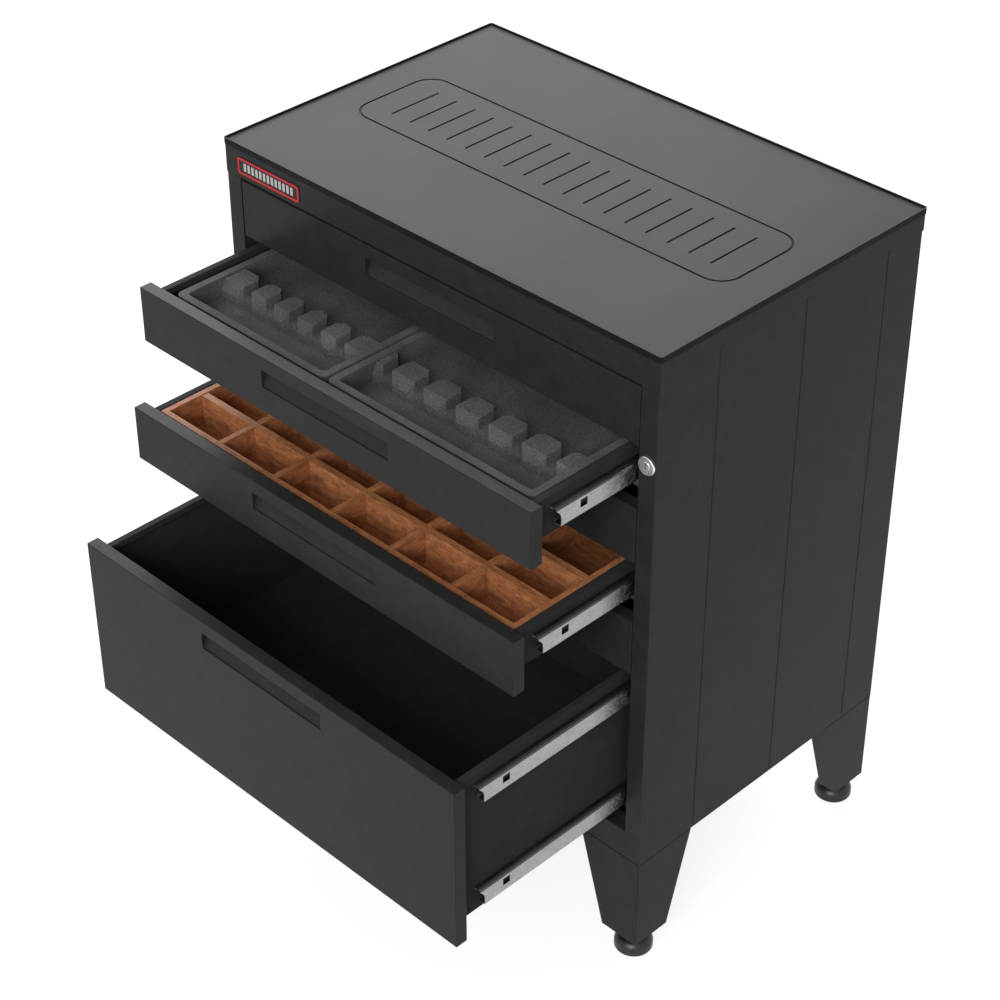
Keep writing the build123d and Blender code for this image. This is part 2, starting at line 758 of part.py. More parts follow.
def drawer_slides(index):
    """The drawer's own slide members, left and right, with notched front ends and a latch hole."""
    shift = -open_distances[index]
    start_y = slide_front_y + shift
    web_x = body_half + drawer_member_depth
    with BuildPart() as members:
        for level in slide_levels(index):
            with BuildSketch(Plane.XZ.offset(-start_y)):
                drawer_slide_section(level)
            extrude(amount=-slide_length)
            hole_y = start_y + member_hole_distance
            hole_z = level + member_hole_rise
            block((web_x - 2 * slide_sheet, web_x + slide_sheet),
                  (hole_y - member_hole_length / 2, hole_y + member_hole_length / 2),
                  (hole_z - member_hole_height / 2, hole_z + member_hole_height / 2), Mode.SUBTRACT)
            with Locations(Plane.YZ.offset(web_x).location
                           * Location((start_y + member_notch_depth - member_notch_radius, level, 0))):
                Cylinder(member_notch_radius, 2 * drawer_member_depth, mode=Mode.SUBTRACT)
            race_x = body_half + cage_ball_offset
            for side in (-1, 1):
                surface = level + side * drawer_member_height / 2
                block((race_x - raceway_width / 2, race_x + raceway_width / 2),
                      (start_y - raceway_overrun, start_y + slide_length + raceway_overrun),
                      (surface - side * raceway_depth, surface + side * raceway_depth), Mode.SUBTRACT)
        mirror(about=Plane.YZ)
    return members.part


def ball_cages(index):
    """The ball cages of a drawer's slides, which travel half as far as the drawer."""
    shift = -open_distances[index] / 2
    length = (ball_count - 1) * ball_pitch + 2 * cage_end_margin
    start_y = slide_front_y + drawer_travel / 2 + shift + cage_front_distance - cage_end_margin
    with BuildPart() as cages:
        for level in slide_levels(index):
            strip_x = (body_half + cage_strip_start, body_half + cage_web_offset + cage_web)
            web_x = (body_half + cage_web_offset, body_half + cage_web_offset + cage_web)
            span_y = (start_y, start_y + length)
            for side in (-1, 1):
                centre_z = level + side * ball_level
                block(strip_x, span_y, (centre_z - cage_sheet / 2, centre_z + cage_sheet / 2))
            block(web_x, span_y, (level - ball_level, level + ball_level))
            for side in (-1, 1):
                centre_z = level + side * ball_level
                for number in range(ball_count):
                    ball_y = start_y + cage_end_margin + number * ball_pitch
                    with Locations((body_half + cage_ball_offset, ball_y, centre_z)):
                        Cylinder(ball_radius + ball_hole_clearance, 4 * cage_sheet, mode=Mode.SUBTRACT)
                        Sphere(ball_radius)
        mirror(about=Plane.YZ)
    return cages.part


for index in range(len(drawer_rows)):
    number = index + 1
    save(f"drawer_{number}_front", drawer_front(index))
    save(f"drawer_{number}_body", drawer_body(index))
    save(f"drawer_{number}_slides", drawer_slides(index))
    save(f"drawer_{number}_ball_cages", ball_cages(index))


def drawer_floor_z(index):
    """Top face of a drawer's bottom sheet."""
    return drawer_top_z(index) - drawer_front_height(index) + body_bottom_rise + drawer_sheet


# Drawer 2: moulded tool trays with a handle bay, a notched ridge and a rear bay
tray_drawer_index = 1
tray_shift = -open_distances[tray_drawer_index]
tray_low = drawer_floor_z(tray_drawer_index)
tray_top = drawer_top_z(tray_drawer_index) - tray_top_drop


def tool_tray(x_span, tool_count, notch_pitch, notch_middle):
    """A moulded tray; tools lie across its ridge, with their handles in one of the pockets."""
    front = behind_front(tray_front_distance) + tray_shift
    back = behind_front(tray_back_distance) + tray_shift
    middle_x = sum(x_span) / 2
    inner_length = x_span[1] - x_span[0] - 2 * tray_rim
    pocket_z = tray_top - tray_pocket_depth
    ridge_front = front + tray_rim + tray_pocket_length
    ridge_back = ridge_front + tray_ridge_length
    ridge_z = tray_top - tray_ridge_drop
    notch_half = tray_notch_width / 2
    flare_half = notch_half + tray_notch_flare
    with BuildPart() as tray:
        with BuildSketch(Plane.XY.offset(tray_low)):
            with Locations((middle_x, (front + back) / 2)):
                RectangleRounded(x_span[1] - x_span[0], back - front, tray_corner_radius)
        extrude(amount=tray_top - tray_low)
        with BuildSketch(Plane.XY.offset(pocket_z)):
            with Locations((middle_x, (front + back) / 2)):
                RectangleRounded(inner_length, back - front - 2 * tray_rim, tray_pocket_radius)
        extrude(amount=tray_pocket_depth, mode=Mode.SUBTRACT)
        ridge_half = (inner_length + tray_rim) / 2
        block((middle_x - ridge_half, middle_x + ridge_half), (ridge_front, ridge_back), (pocket_z, ridge_z))
        slope_run, slope_drop = tray_ridge_slope
        with BuildSketch(Plane.YZ.offset(middle_x)):
            with BuildLine():
                Polyline(
                    (ridge_front, ridge_z - slope_drop),
                    (ridge_front + slope_run, ridge_z),
                    (ridge_front, ridge_z),
                    close=True,
                )
            make_face()
        extrude(amount=inner_length / 2, both=True, mode=Mode.SUBTRACT)
        first_x = notch_middle - (tool_count - 1) / 2 * notch_pitch
        notch_xs = [first_x + n * notch_pitch for n in range(tool_count)]
        round_z = ridge_z - tray_notch_depth + notch_half
        with BuildSketch(Plane.XZ.offset(-ridge_front)):
            with Locations(*[(x, round_z) for x in notch_xs]):
                Circle(notch_half)
            with Locations(*[(x, (round_z + ridge_z) / 2) for x in notch_xs]):
                Rectangle(tray_notch_width, ridge_z - round_z)
        extrude(amount=-tray_ridge_length, mode=Mode.SUBTRACT)
        with BuildSketch(Plane.XY.offset(pocket_z)):
            for x in notch_xs:
                for mouth_y, inward in ((ridge_front, 1), (ridge_back, -1)):
                    with BuildLine():
                        Polyline(
                            (x - flare_half, mouth_y),
                            (x + flare_half, mouth_y),
                            (x + notch_half, mouth_y + inward * tray_notch_flare),
                            (x - notch_half, mouth_y + inward * tray_notch_flare),
                            close=True,
                        )
                    make_face()
        extrude(amount=tray_pocket_depth, mode=Mode.SUBTRACT)
    return tray.part


tray_layouts = zip(tray_side_spans, tray_tool_counts, tray_notch_pitches, tray_notch_middles)
for name, layout in zip(("left", "right"), tray_layouts):
    save(f"tool_tray_{name}", tool_tray(*layout))

# Drawer 4: wooden tray of boards, two short rows of cells and a long one
wood_drawer_index = 3
wood_shift = -open_distances[wood_drawer_index]
wood_low = drawer_floor_z(wood_drawer_index)
wood_top = drawer_top_z(wood_drawer_index) - wood_top_drop
wood_front_y = behind_front(wood_front_distance) + wood_shift
wood_back_y = behind_front(wood_back_distance) + wood_shift
wood_inner_half = wood_half_width - wood_board
board_span_z = (wood_low + wood_base, wood_top)
divider_span_z = (wood_low + wood_base, wood_top - wood_divider_drop)
first_divider_y = wood_front_y + wood_board + wood_short_row
second_divider_y = first_divider_y + wood_long_divider + wood_short_row
row_spans = [
    (wood_front_y + wood_board, first_divider_y),
    (first_divider_y + wood_long_divider, second_divider_y),
    (second_divider_y + wood_long_divider, wood_back_y - wood_board),
]
with BuildPart() as wood_tray_base:
    block((-wood_half_width, wood_half_width), (wood_front_y, wood_back_y), (wood_low, wood_low + wood_base))
save("wood_tray_base", wood_tray_base.part)

end_boards = [
    ((-wood_inner_half, wood_inner_half), (wood_front_y, wood_front_y + wood_board), board_span_z),
    ((-wood_inner_half, wood_inner_half), (wood_back_y - wood_board, wood_back_y), board_span_z),
]
side_boards = [((side * wood_inner_half, side * wood_half_width), (wood_front_y, wood_back_y), board_span_z)
               for side in (-1, 1)]
boards = []
for board_spans in end_boards + side_boards:
    with BuildPart() as board:
        block(*board_spans)
    boards.append(board.part.solid())
save("wood_tray_walls", Compound(children=boards))

with BuildPart() as wood_tray_long_dividers:
    for divider_y in (first_divider_y, second_divider_y):
        block((-wood_inner_half, wood_inner_half), (divider_y, divider_y + wood_long_divider), divider_span_z)
save("wood_tray_long_dividers", wood_tray_long_dividers.part)

cell_width = (2 * wood_inner_half - (wood_columns - 1) * wood_cross_divider) / wood_columns
with BuildPart() as wood_tray_cross_dividers:
    for column in range(1, wood_columns):
        left = -wood_inner_half + column * cell_width + (column - 1) * wood_cross_divider
        for row_span in row_spans:
            block((left, left + wood_cross_divider), row_span, divider_span_z)
save("wood_tray_cross_dividers", wood_tray_cross_dividers.part)

# Lock: housing and nut on the post, a plug that turns, and a cam whose crank pin lifts the bar
lock_plane = Plane.XZ.offset(-front_y)
housing_end = lock_body_length
with BuildPart() as lock_housing:
    with BuildSketch(lock_plane):
        with Locations((lock_x, lock_z)):
            Circle(lock_cap_radius)
    extrude(amount=lock_cap_thickness)
    fillet(lock_housing.faces().sort_by(Axis.Y)[0].edges(), lock_cap_thickness / 3)
    with BuildSketch(lock_plane):
        with Locations((lock_x, lock_z)):
            Circle(lock_body_radius)
    extrude(amount=-housing_end)
    with BuildSketch(lock_plane.offset(lock_cap_thickness)):
        with Locations((lock_x, lock_z)):
            Circle(plug_radius + plug_clearance)
    extrude(amount=-(housing_end + lock_cap_thickness), mode=Mode.SUBTRACT)
save("lock_housing", lock_housing.part)

with BuildPart() as lock_nut:
    with BuildSketch(lock_plane.offset(-panel_sheet)):
        with Locations((lock_x, lock_z)):
            RegularPolygon(lock_nut_flats / 2, 6, major_radius=False, rotation=30)
            Circle(lock_body_radius, mode=Mode.SUBTRACT)
    extrude(amount=-lock_nut_height)
save("lock_nut", lock_nut.part)

with BuildPart() as lock_plug:
    with BuildSketch(lock_plane.offset(lock_cap_thickness + plug_proud)):
        with Locations((lock_x, lock_z)):
            Circle(plug_radius)
    extrude(amount=-(housing_end + lock_cap_thickness + plug_proud))
    with BuildSketch(lock_plane.offset(lock_cap_thickness + plug_proud)):
        with Locations((lock_x, lock_z)):
            SlotOverall(keyway_height, keyway_width, rotation=90)
    extrude(amount=-keyway_depth, mode=Mode.SUBTRACT)
save("lock_plug", lock_plug.part)

crank_x = lock_x + crank_radius * cos(radians(crank_rest_angle))
crank_z = lock_z + crank_radius * sin(radians(crank_rest_angle))
cam_plane = lock_plane.offset(-housing_end - plug_clearance)
with BuildPart() as lock_cam:
    with BuildSketch(lock_plane.offset(-housing_end)):
        with Locations((lock_x, lock_z)):
            Circle(cam_radius)
    extrude(amount=-cam_thickness)
    with BuildSketch(lock_plane.offset(-housing_end)):
        with Locations((crank_x, crank_z)):
            Circle(crank_pin_radius)
    pin_end = lock_bar_distance + lock_bar_thickness + crank_pin_overrun
    extrude(amount=-(pin_end - housing_end))
save("lock_cam", lock_cam.part)

with BuildPart() as lock_cam_screw:
    with BuildSketch(lock_plane.offset(-housing_end - cam_thickness)):
        with Locations((lock_x, lock_z)):
            Circle(cam_screw_radius)
    extrude(amount=-cam_screw_length)
    chamfer(lock_cam_screw.faces().sort_by(Axis.Y)[-1].edges(), cam_screw_length / 4)
save("lock_cam_screw", lock_cam_screw.part)

# Lock bar: a flat bar behind the right post with a finger under each drawer
bar_y = (behind_front(lock_bar_distance), behind_front(lock_bar_distance + lock_bar_thickness))
finger_tops = []
for index in range(len(drawer_rows)):
    drawer_bottom = drawer_top_z(index) - drawer_front_height(index)
    finger_tops.append(drawer_bottom - finger_drop + finger_height)
with BuildPart() as lock_bar:
    block((lock_bar_left, lock_bar_right), bar_y, (min(finger_tops) - finger_height, max(finger_tops)))
    for finger_top in finger_tops:
        block((finger_inner_x, lock_bar_right), bar_y, (finger_top - finger_height, finger_top))
    slot_low_x = crank_radius * cos(radians(crank_rest_angle)) - crank_pin_radius - crank_slot_clearance
    slot_high_x = crank_radius + crank_pin_radius + crank_slot_clearance
    slot_half_height = crank_pin_radius + crank_slot_clearance
    block((lock_x + slot_low_x, lock_x + slot_high_x), bar_y,
          (crank_z - slot_half_height, crank_z + slot_half_height), Mode.SUBTRACT)
save("lock_bar", lock_bar.part)

# Guides: small brackets on the side panel that hold the bar front and back
with BuildPart() as lock_bar_guides:
    for level in guide_heights_z:
        span_z = (level, level + guide_height)
        for y_low in (bar_y[0] - guide_gap - guide_sheet, bar_y[1] + guide_gap):
            block((lock_bar_left + guide_overlap, panel_inner), (y_low, y_low + guide_sheet), span_z)
        block((lock_bar_right + guide_gap, panel_inner), (bar_y[0] - guide_gap - guide_sheet,
              bar_y[1] + guide_gap + guide_sheet), span_z)
save("lock_bar_guides", lock_bar_guides.part)

# Pan-head screws that hold the back panel to the side panels' flanges
with BuildPart() as back_panel_screws:
    with back_screw_places():
        Cylinder(screw_shank_radius, screw_shank_length, align=(Align.CENTER, Align.CENTER, Align.MIN))
    with BuildSketch(Plane.XZ.offset(-panel_back_y)):
        with Locations((0, screw_middle_z)):
            with GridLocations(2 * screw_x, screw_pitch_z, 2, screw_rows):
                Circle(screw_head_radius)
    extrude(amount=-screw_head_height)
    head_faces = back_panel_screws.faces().sort_by(Axis.Y)[-2 * screw_rows:]
    fillet(head_faces.edges(), screw_head_height / 2)
save("back_panel_screws", back_panel_screws.part)

# Bolts and nuts that hold the legs under the body
with BuildPart() as leg_bolts:
    with bolt_places(bolt_head_z):
        Cylinder(bolt_radius, bolt_length, align=(Align.CENTER, Align.CENTER, Align.MIN))
    for level in (bolt_head_z - bolt_head_height, base_z + panel_sheet):
        with BuildSketch(Plane.XY.offset(level)):
            with bolt_places(0):
                RegularPolygon(bolt_flats / 2, 6, major_radius=False)
        extrude(amount=bolt_head_height)
save("leg_bolts", leg_bolts.part)
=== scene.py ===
import json
import math

import bmesh
import bpy
from mathutils import Matrix, Vector


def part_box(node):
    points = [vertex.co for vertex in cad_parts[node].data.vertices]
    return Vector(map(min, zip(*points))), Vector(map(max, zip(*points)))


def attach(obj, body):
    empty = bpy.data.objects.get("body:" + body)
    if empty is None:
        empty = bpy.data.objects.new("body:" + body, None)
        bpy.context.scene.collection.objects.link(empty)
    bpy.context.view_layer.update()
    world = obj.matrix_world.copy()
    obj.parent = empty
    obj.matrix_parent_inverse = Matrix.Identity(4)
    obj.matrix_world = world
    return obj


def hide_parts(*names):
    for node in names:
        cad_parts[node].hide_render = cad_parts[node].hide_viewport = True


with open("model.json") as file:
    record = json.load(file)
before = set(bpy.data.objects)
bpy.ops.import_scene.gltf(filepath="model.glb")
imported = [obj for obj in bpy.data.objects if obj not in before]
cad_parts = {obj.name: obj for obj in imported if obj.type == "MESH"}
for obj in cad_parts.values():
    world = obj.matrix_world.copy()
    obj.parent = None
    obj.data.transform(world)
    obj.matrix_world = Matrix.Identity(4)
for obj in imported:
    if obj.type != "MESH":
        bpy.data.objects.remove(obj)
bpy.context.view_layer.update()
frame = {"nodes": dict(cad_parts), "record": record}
nodes = frame["nodes"]
scene = bpy.context.scene
MM = 0.001
DRAWERS = range(1, 7)

# Places and boxes of CAD nodes that the materials and the added pieces follow, in metres
MAT_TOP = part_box("worktop_mat")[1][2]
BADGE_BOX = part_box("badge_plate")
WOOD_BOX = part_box("wood_tray_walls")
SCREW_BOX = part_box("back_panel_screws")
STUD_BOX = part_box("foot_studs")
NUT_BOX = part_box("foot_nuts")
FRONT_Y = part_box("front_sill")[0][1]

# Sizes that the materials follow, in millimetres; those of the slides' darker mottled patch are from
# its middle
GROOVE_SHADE_DEPTHS = (0.30, 0.02)
END_BOARD_THICKNESS = 7.5
BADGE_RIM_DEPTH = 0.25
DARK_PATCH_START = (-54, -6)
DARK_PATCH_END = (4, 34)


# Materials

class Surface:
    """A material's node tree, with a short call for each kind of node that is used here."""

    def __init__(self, name, **sockets):
        self.material = bpy.data.materials.new(name)
        self.material.use_nodes = True
        self.tree = self.material.node_tree
        self.shader = self.tree.nodes["Principled BSDF"]
        self.place = self.tree.nodes.new("ShaderNodeTexCoord").outputs["Object"]
        for socket, value in sockets.items():
            self.shader.inputs[socket.replace("_", " ")].default_value = value

    def link(self, source, socket):
        """Links an output to one of the shader's sockets."""
        self.tree.links.new(source, self.shader.inputs[socket])

    def stretched(self, x, y, z):
        """Texture places scaled along each axis."""
        node = self.tree.nodes.new("ShaderNodeMapping")
        self.tree.links.new(self.place, node.inputs["Vector"])
        node.inputs["Scale"].default_value = (x, y, z)
        return node.outputs["Vector"]

    def axis(self, letter):
        """One coordinate of the place, in metres."""
        node = self.tree.nodes.new("ShaderNodeSeparateXYZ")
        self.tree.links.new(self.place, node.inputs["Vector"])
        return node.outputs[letter]

    def facing_up(self):
        """How far the surface faces up, from -1 to 1."""
        node = self.tree.nodes.new("ShaderNodeSeparateXYZ")
        geometry = self.tree.nodes.new("ShaderNodeNewGeometry")
        self.tree.links.new(geometry.outputs["True Normal"], node.inputs["Vector"])
        return node.outputs["Z"]

    def noise(self, scale, detail=2.0, roughness=0.5, place=None, distortion=0.0):
        node = self.tree.nodes.new("ShaderNodeTexNoise")
        self.tree.links.new(place or self.place, node.inputs["Vector"])
        node.inputs["Scale"].default_value = scale
        node.inputs["Detail"].default_value = detail
        node.inputs["Roughness"].default_value = roughness
        node.inputs["Distortion"].default_value = distortion
        return node.outputs["Fac"]

    def cells(self, scale):
        """A cell pattern's node, with its Color and Distance outputs."""
        node = self.tree.nodes.new("ShaderNodeTexVoronoi")
        self.tree.links.new(self.place, node.inputs["Vector"])
        node.inputs["Scale"].default_value = scale
        return node

    def spread(self, source, low, high, to_low, to_high):
        """A value from one range mapped on another and kept inside it."""
        node = self.tree.nodes.new("ShaderNodeMapRange")
        self.tree.links.new(source, node.inputs["Value"])
        limits = {"From Min": low, "From Max": high, "To Min": to_low, "To Max": to_high}
        for socket, value in limits.items():
            node.inputs[socket].default_value = value
        return node.outputs["Result"]

    def maths(self, operation, first, second=0.0):
        """An operation on two values; each is a number or a socket."""
        node = self.tree.nodes.new("ShaderNodeMath")
        node.operation = operation
        for socket, value in zip(node.inputs, (first, second)):
            if isinstance(value, (int, float)):
                socket.default_value = value
            else:
                self.tree.links.new(value, socket)
        return node.outputs["Value"]

    def blend(self, *parts):
        """The sum of pairs of a value and its share."""
        total = None
        for value, share in parts:
            portion = self.maths("MULTIPLY", value, share)
            total = portion if total is None else self.maths("ADD", total, portion)
        return total

    def ramp(self, source, stops):
        """A colour from (position, colour) stops; a plain number stands for a grey."""
        node = self.tree.nodes.new("ShaderNodeValToRGB")
        self.tree.links.new(source, node.inputs["Fac"])
        elements = node.color_ramp.elements
        while len(elements) < len(stops):
            elements.new(0.5)
        for element, (position, colour) in zip(elements, stops):
            grey = not isinstance(colour, tuple)
            element.position = position
            element.color = (colour, colour, colour, 1) if grey else (*colour, 1)
        return node.outputs["Color"]

    def mix(self, share, first, second):
        """A colour between two others; each is a colour or a socket."""
        node = self.tree.nodes.new("ShaderNodeMix")
        node.data_type = "RGBA"
        self.tree.links.new(share, node.inputs["Factor"])
        for socket, value in zip((node.inputs[6], node.inputs[7]), (first, second)):
            if isinstance(value, tuple):
                socket.default_value = (*value, 1)
            else:
                self.tree.links.new(value, socket)
        return node.outputs[2]

    def bump(self, height, strength, distance, under=None):
        """A bump on the shader's normal, laid over another bump where one is given."""
        node = self.tree.nodes.new("ShaderNodeBump")
        self.tree.links.new(height, node.inputs["Height"])
        node.inputs["Strength"].default_value = strength
        node.inputs["Distance"].default_value = distance
        if under is not None:
            self.tree.links.new(under, node.inputs["Normal"])
        self.tree.links.new(node.outputs["Normal"], self.shader.inputs["Normal"])
        return node.outputs["Normal"]


def black_coat(name, shine, tones, rough, painted_top_highlight=None):
    """Black powder coat, speckled and a little dusty; the last argument, where given, is a lighter tone
    painted on faces that look up as a painted highlight.
    """
    s = Surface(name, Specular_IOR_Level=shine)
    speckle = s.noise(1100, 2, 0.6)
    soft = s.noise(6, 3, 0.5)
    dust = s.noise(38, 4, 0.65)
    coat = s.ramp(s.blend((speckle, 0.72), (dust, 0.28)), list(zip((0.32, 0.52, 0.70), tones)))
    # Painted highlight: faces that look up are lightened towards the given tone.
    if painted_top_highlight is not None:
        coat = s.mix(s.spread(s.facing_up(), 0.3, 0.8, 0.0, 1.0), coat, (painted_top_highlight, painted_top_highlight, painted_top_highlight))
    s.link(coat, "Base Color")
    s.link(s.spread(s.maths("ADD", soft, speckle), 0.7, 1.3, *rough), "Roughness")
    wave = s.bump(soft, 0.04, 4 * MM)
    s.bump(speckle, 0.25, 0.22 * MM, wave)
    return s.material


def mat_rubber():
    """Dark grey rubber: a fine grain, faint clouding and scuffs, with painted shade making it nearly
    black in the grooves.
    """
    s = Surface("mat_rubber", Specular_IOR_Level=0.06)
    grain = s.noise(1300, 2, 0.6)
    cloud = s.noise(5, 4, 0.55)
    scuff = s.noise(60, 5, 0.7, s.stretched(1, 7, 1))
    face = s.ramp(s.blend((cloud, 0.25), (grain, 0.75)), [(0.36, 0.054), (0.64, 0.085)])
    shade = [MAT_TOP - depth * MM for depth in GROOVE_SHADE_DEPTHS]
    # Painted shade: the colour darkens to nearly black with depth below the mat's top, in the grooves.
    groove_painted_shade = s.spread(s.axis("Z"), *shade, 1.0, 0.0)
    s.link(s.mix(groove_painted_shade, face, (0.006, 0.006, 0.006)), "Base Color")
    s.link(s.spread(scuff, 0.35, 0.7, 0.57, 0.53), "Roughness")
    s.bump(grain, 0.22, 0.2 * MM)
    return s.material


def zinc_steel(name, low, high, dark_patch_y=None):
    """Zinc-plated steel with a close grain and small spangles, from a low to a high tone.

    A slide's version also has painted shade on its up-facing bends, and one darker mottled patch along
    Y round a middle given in metres.
    """
    s = Surface(name, Metallic=1.0)
    spangle = s.tree.nodes.new("ShaderNodeSeparateColor")
    s.tree.links.new(s.cells(800).outputs["Color"], spangle.inputs["Color"])
    pepper = s.noise(2200, 3, 0.7)
    patch = s.noise(45, 4, 0.6)
    tone = s.blend((spangle.outputs["Red"], 0.24), (pepper, 0.40), (patch, 0.36))
    metal = s.ramp(tone, [(0.30, low), (0.70, high)])
    if dark_patch_y is not None:
        # A darker mottled patch along Y near the slide's front end.
        dark_mottle = s.spread(s.noise(230, 3, 0.6), 0.40, 0.56, 0.30, 1.0)
        start = [dark_patch_y + reach * MM for reach in DARK_PATCH_START]
        end = [dark_patch_y + reach * MM for reach in DARK_PATCH_END]
        after_start = s.spread(s.axis("Y"), *start, 0.0, 1.0)
        before_end = s.spread(s.axis("Y"), *end, 1.0, 0.0)
        near = s.maths("MULTIPLY", after_start, before_end)
        # Painted shade: the up-facing bends of a slide are darkened nearly to black.
        painted_bend_shade = s.spread(s.facing_up(), 0.05, 0.25, 0.0, 0.92)
        # The darkening is the painted shade of the bends, or the mottled patch where that is darker.
        dark_patch_and_painted_shade = s.maths("MAXIMUM", s.maths("MULTIPLY", dark_mottle, near), painted_bend_shade)
        metal = s.mix(s.maths("MULTIPLY", dark_patch_and_painted_shade, 0.92), metal, (0.030, 0.030, 0.032))
    s.link(metal, "Base Color")
    s.link(s.spread(s.maths("ADD", pepper, patch), 0.7, 1.3, 0.34, 0.56), "Roughness")
    s.bump(pepper, 0.14, 0.08 * MM)
    return s.material


def bright_metal():
    """Polished nickel plate with fine turning marks."""
    s = Surface("bright_metal", Metallic=1.0)
    mark = s.noise(1500, 2, 0.5)
    s.link(s.ramp(mark, [(0.3, (0.86, 0.86, 0.85)), (0.7, (0.95, 0.95, 0.95))]), "Base Color")
    s.link(s.spread(mark, 0.3, 0.7, 0.26, 0.34), "Roughness")
    s.bump(mark, 0.03, 0.04 * MM)
    return s.material


def foot_plastic():
    """Glossy black moulded nylon."""
    s = Surface("foot_plastic", Specular_IOR_Level=0.42)
    grain = s.noise(500, 3, 0.6)
    s.link(s.ramp(grain, [(0.3, 0.008), (0.7, 0.014)]), "Base Color")
    s.link(s.spread(grain, 0.3, 0.7, 0.34, 0.42), "Roughness")
    s.bump(grain, 0.08, 0.1 * MM)
    return s.material


def tray_foam():
    """Dark grey moulded foam: light and dark flecks and a pebbled surface."""
    s = Surface("tray_foam", Specular_IOR_Level=0.2)
    fleck = s.noise(620, 3, 0.7)
    pebble = s.cells(400).outputs["Distance"]
    cloud = s.noise(14, 3, 0.5)
    tone = s.blend((fleck, 0.7), (cloud, 0.3))
    s.link(s.ramp(tone, [(0.38, 0.045), (0.52, 0.085), (0.68, 0.160)]), "Base Color")
    s.link(s.spread(fleck, 0.3, 0.7, 0.75, 0.9), "Roughness")
    s.bump(s.maths("ADD", pebble, fleck), 0.35, 0.4 * MM)
    return s.material


WOOD_STAIN = [
    (0.28, (0.200, 0.068, 0.027)),
    (0.45, (0.350, 0.130, 0.050)),
    (0.62, (0.490, 0.205, 0.086)),
    (0.80, (0.600, 0.300, 0.155)),
]
WOOD_DARK = (0.100, 0.038, 0.017)
GRAIN_ALONG_X = (3.2, 20, 12)
GRAIN_ALONG_Y = (20, 3.2, 12)


def stained_wood(name, boards):
    """Stained wood whose grain follows the boards.

    They run along "x" or "y", or are "framed": along X, with the end boards along Y.
    """
    s = Surface(name, Specular_IOR_Level=0.2)
    board = s.noise(7, 2, 0.5)
    blotch = s.spread(s.noise(55, 5, 0.75), 0.50, 0.70, 0.0, 0.75)
    layers = []
    for scales in (GRAIN_ALONG_X, GRAIN_ALONG_Y):
        place = s.stretched(*scales)
        grain = s.noise(9, 6, 0.6, place, 1.4)
        pores = s.noise(42, 3, 0.7, place)
        stain = s.ramp(s.blend((grain, 0.75), (board, 0.25)), WOOD_STAIN)
        dark = s.maths("MAXIMUM", s.spread(pores, 0.50, 0.68, 0.0, 0.65), blotch)
        layers.append((s.mix(dark, stain, WOOD_DARK), grain, pores))
    along_x, along_y = layers
    if boards == "framed":
        inside_end = WOOD_BOX[1][0] - END_BOARD_THICKNESS * MM
        in_end_board = s.maths("GREATER_THAN", s.maths("ABSOLUTE", s.axis("X")), inside_end)
        colour = s.mix(in_end_board, along_x[0], along_y[0])
        height = along_x[1]
    else:
        colour, grain, pores = along_x if boards == "x" else along_y
        height = s.maths("SUBTRACT", grain, pores)
    s.link(colour, "Base Color")
    s.link(s.spread(along_x[1], 0.3, 0.7, 0.45, 0.62), "Roughness")
    s.bump(height, 0.3, 0.3 * MM)
    return s.material


def badge_enamel():
    """Red rim and a dark sunk field, told apart by depth."""
    s = Surface("badge_enamel", Specular_IOR_Level=0.15)
    grain = s.noise(900, 2, 0.6)
    in_field = s.maths("GREATER_THAN", s.axis("Y"), BADGE_BOX[0][1] + BADGE_RIM_DEPTH * MM)
    red = s.ramp(grain, [(0.3, (0.46, 0.018, 0.024)), (0.7, (0.62, 0.036, 0.044))])
    dark = s.ramp(grain, [(0.3, 0.012), (0.7, 0.026)])
    s.link(s.mix(in_field, red, dark), "Base Color")
    s.link(s.spread(grain, 0.3, 0.7, 0.32, 0.46), "Roughness")
    s.bump(grain, 0.1, 0.1 * MM)
    return s.material


def badge_paint():
    """Warm grey enamel of the plain bars."""
    s = Surface("badge_paint", Specular_IOR_Level=0.4)
    grain = s.noise(900, 3, 0.6)
    s.link(s.ramp(grain, [(0.3, (0.40, 0.39, 0.37)), (0.7, (0.58, 0.57, 0.55))]), "Base Color")
    s.link(s.spread(grain, 0.3, 0.7, 0.35, 0.5), "Roughness")
    return s.material


ZINC_TONES = (0.26, 0.48)
PLATED_TONES = (0.24, 0.50)
# The worktop rim's lighter tone on faces that look up is a painted highlight.
RIM_PAINTED_HIGHLIGHT_TONE = 0.075
COAT = black_coat("powder_coat", 0.065, (0.016, 0.0245, 0.039), (0.29, 0.38))
RIM_COAT = black_coat("rim_coat", 0.05, (0.007, 0.011, 0.018), (0.45, 0.55), RIM_PAINTED_HIGHLIGHT_TONE)
BODY_COAT = black_coat("matt_coat", 0.03, (0.022, 0.032, 0.046), (0.56, 0.68))
MAT = mat_rubber()
ZINC = zinc_steel("zinc_steel", *ZINC_TONES)
PLATED = zinc_steel("plated_steel", *PLATED_TONES)
BRIGHT = bright_metal()
FOOT = foot_plastic()
FOAM = tray_foam()
WOOD_X = stained_wood("stained_wood_long", "x")
WOOD_Y = stained_wood("stained_wood_cross", "y")
WOOD_FRAMED = stained_wood("stained_wood_walls", "framed")
ENAMEL = badge_enamel()
PAINT = badge_paint()

